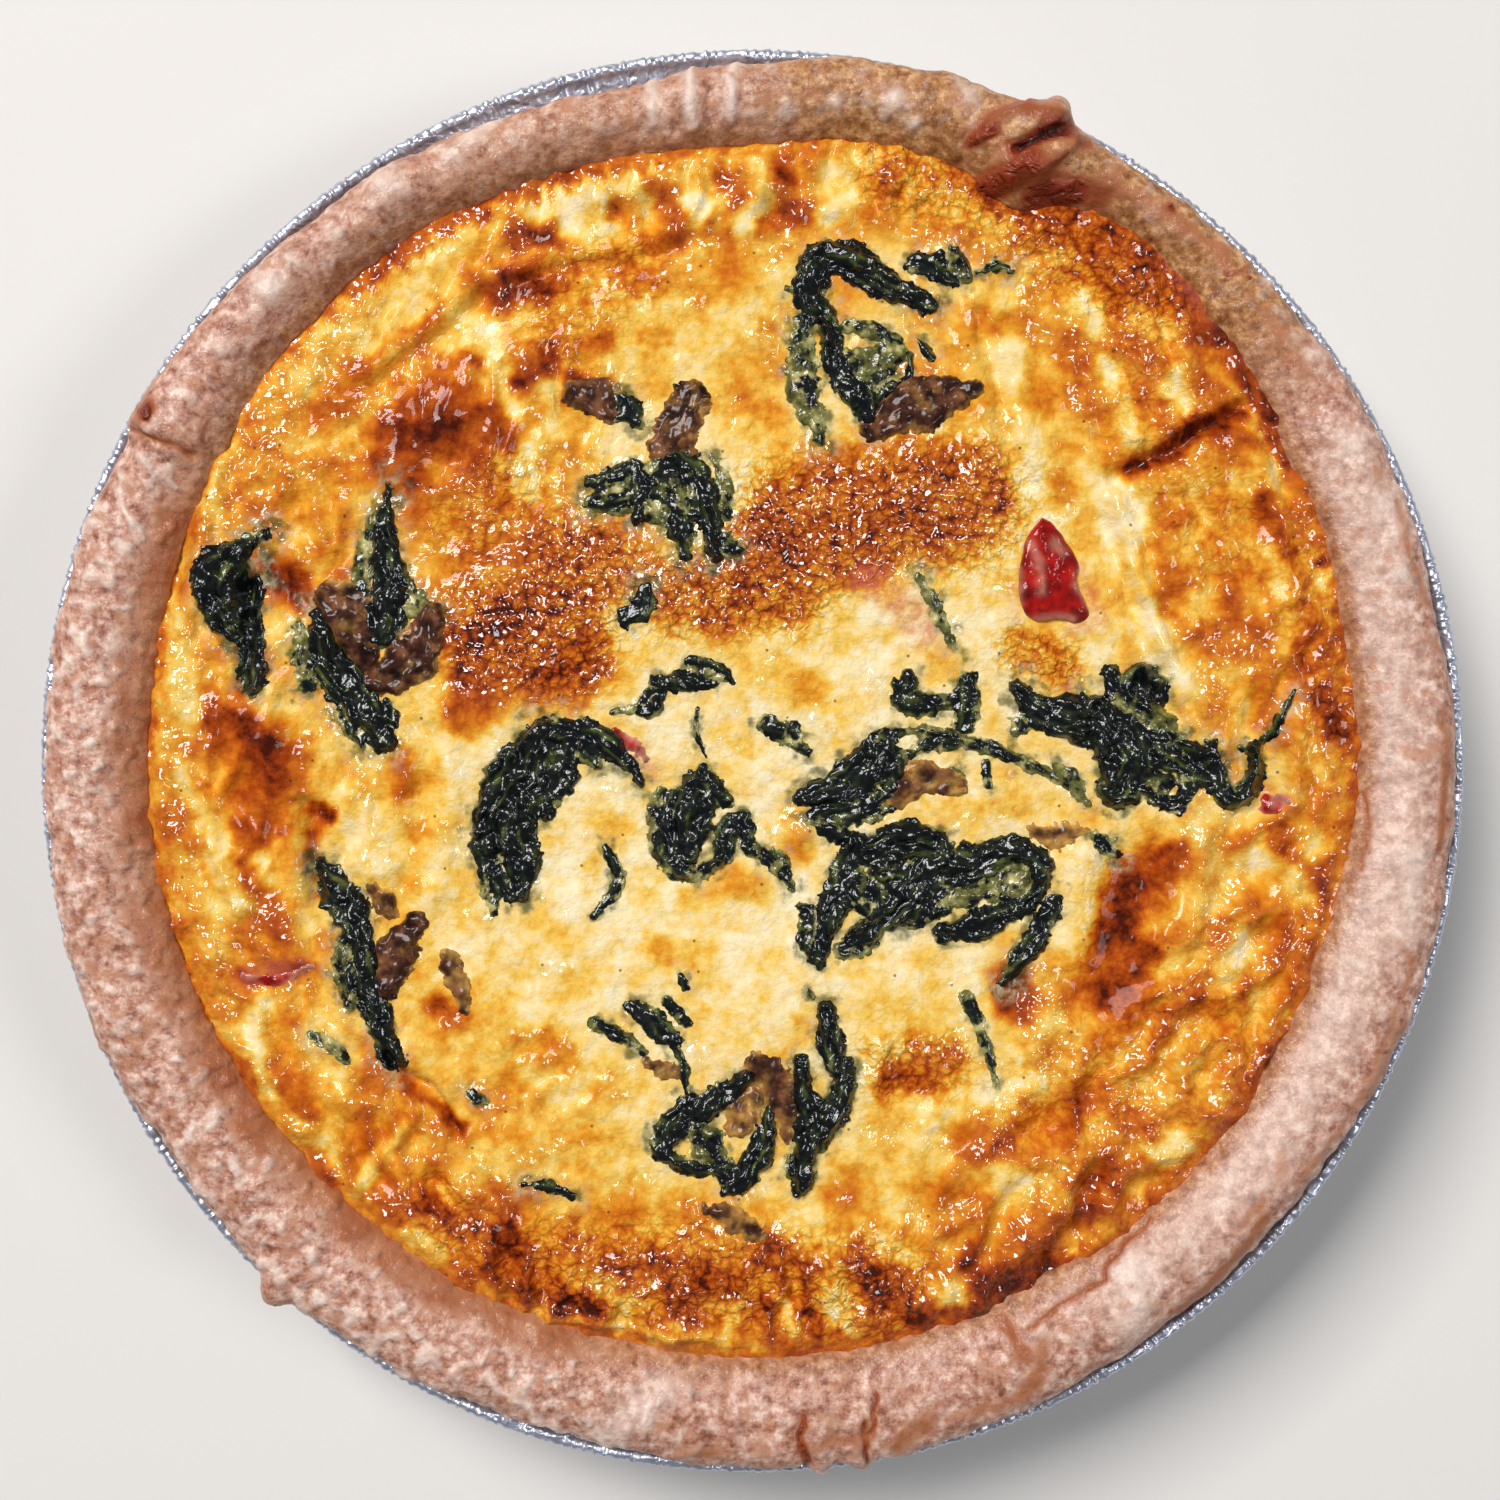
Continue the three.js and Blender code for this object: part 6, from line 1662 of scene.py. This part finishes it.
def make_tin(material):
    """The tin: a base, a pleated wall, a flange, and a curled lip with fine uneven crimps."""
    angle = np.linspace(0, 2 * np.pi, TIN_STEPS, endpoint=False)
    pleat = 0.3 * np.cos(TIN_PLEATS * angle + 0.8 * round_fractal(angle, 30, 6, 71, 2))
    uneven = round_fractal(angle, 112, 3.0, 72, 2)
    crimp = np.sin(TIN_CRIMPS * angle + 5 * uneven) * np.clip(0.55 + 1.2 * uneven, 0, 1)
    outside = [
        (TIN_BASE_RADIUS - 1.8, 0), (TIN_BASE_RADIUS - 0.3, 0.5), (WALL_FOOT + 0.5 * pleat, WALL_FOOT_HEIGHT),
        *wall_rings(pleat),
        (TIN_FLANGE_RADIUS - 1.2 + pleat, TIN_FLANGE_HEIGHT - 1.2), (TIN_FLANGE_RADIUS, TIN_FLANGE_HEIGHT),
    ]
    inside = [
        (LIP_INSIDE, TIN_FLANGE_HEIGHT + FOIL + 0.3 + 0.25 * crimp),
        (TIN_FLANGE_RADIUS + 0.3, TIN_FLANGE_HEIGHT + FOIL),
        (TIN_FLANGE_RADIUS - 1.7 + pleat, TIN_FLANGE_HEIGHT - 0.9),
        (TIN_BASE_RADIUS + 0.1 + 0.5 * pleat, 2.7), (TIN_BASE_RADIUS - 0.7, 1.0), (TIN_BASE_RADIUS - 2, FOIL),
    ]
    rings = ring_stack([*outside, *lip_rings(crimp), *inside], TIN_STEPS)
    vertices, faces = closed_rings(round_places(rings, angle), 0, FOIL)
    finish_piece(mesh_piece("tin_crimped", vertices, faces), "foil", material, "foil_tin")


# ---- stage, light and camera ----

# In metres: half the floor's width, and for each lamp its name, place, width, power in watts and colour.
FLOOR_HALF = 4.0
LAMPS = [
    ("window", (-1.12, 1.25, 2.18), 1.15, 78, (1.0, 0.98, 0.98)),
    ("fill", (1.6, -0.2, 1.9), 0.7, 16, (0.95, 0.97, 1.0)),
]
LAMP_TARGET = (0, 0, 0.02)
ROOM_COLOUR = (0.80, 0.87, 1.0, 1.0)
ROOM_STRENGTH = 0.14
# In millimetres: where the camera looks down from, its lens and its sensor.
CAMERA_PLACE = (-0.4, 1.7, 357.5)
CAMERA_LENS = 50
CAMERA_SENSOR = 36


def make_floor():
    corners = [(x * FLOOR_HALF, y * FLOOR_HALF, 0) for x, y in ((-1, -1), (1, -1), (1, 1), (-1, 1))]
    mesh = bpy.data.meshes.new("floor")
    mesh.from_pydata(corners, [], [(0, 1, 2, 3)])
    floor = bpy.data.objects.new("floor", mesh)
    bpy.context.collection.objects.link(floor)
    shader = Shader("pale_floor")
    shader.set("Base Color", linear(*FLOOR_TONE))
    shader.set("Roughness", 0.7)
    mesh.materials.append(shader.material)


def aim(thing, target):
    """Turns a lamp so that it shines at the target."""
    direction = np.array(target) - np.array(thing.location)
    yaw = math.atan2(direction[1], direction[0]) - math.pi / 2
    pitch = math.atan2(math.hypot(direction[0], direction[1]), -direction[2])
    thing.rotation_euler = (pitch, 0, yaw)


def add_area_light(name, location, size, power, colour):
    light = bpy.data.lights.new(name, "AREA")
    light.shape = "SQUARE"
    light.size = size
    light.energy = power
    light.color = colour
    lamp = bpy.data.objects.new(name, light)
    lamp.location = location
    bpy.context.collection.objects.link(lamp)
    aim(lamp, LAMP_TARGET)


def make_lights():
    for lamp in LAMPS:
        add_area_light(*lamp)
    world = bpy.data.worlds.new("soft_room")
    world.use_nodes = True
    background = world.node_tree.nodes["Background"]
    background.inputs["Color"].default_value = ROOM_COLOUR
    background.inputs["Strength"].default_value = ROOM_STRENGTH
    bpy.context.scene.world = world


def limit_bounces():
    """An open scene lit from above needs few bounces."""
    cycles = bpy.context.scene.cycles
    cycles.max_bounces = 4
    cycles.diffuse_bounces = 2
    cycles.glossy_bounces = 2


def make_camera():
    camera = bpy.data.cameras.new("overhead")
    camera.lens = CAMERA_LENS
    camera.sensor_width = CAMERA_SENSOR
    camera.clip_start = 0.01
    overhead = bpy.data.objects.new("overhead", camera)
    overhead.location = [value * MM for value in CAMERA_PLACE]
    bpy.context.collection.objects.link(overhead)
    bpy.context.scene.camera = overhead
    bpy.context.scene.view_settings.view_transform = "Standard"


make_tin(foil_material())
make_pastry(pastry_material())
make_filling(filling_material())
pepper = pepper_material()
make_toppings({"spinach": spinach_material(), "mushroom": mushroom_material(), "pepper": pepper})
make_pepper(pepper)
make_floor()
make_lights()
limit_bounces()
make_camera()
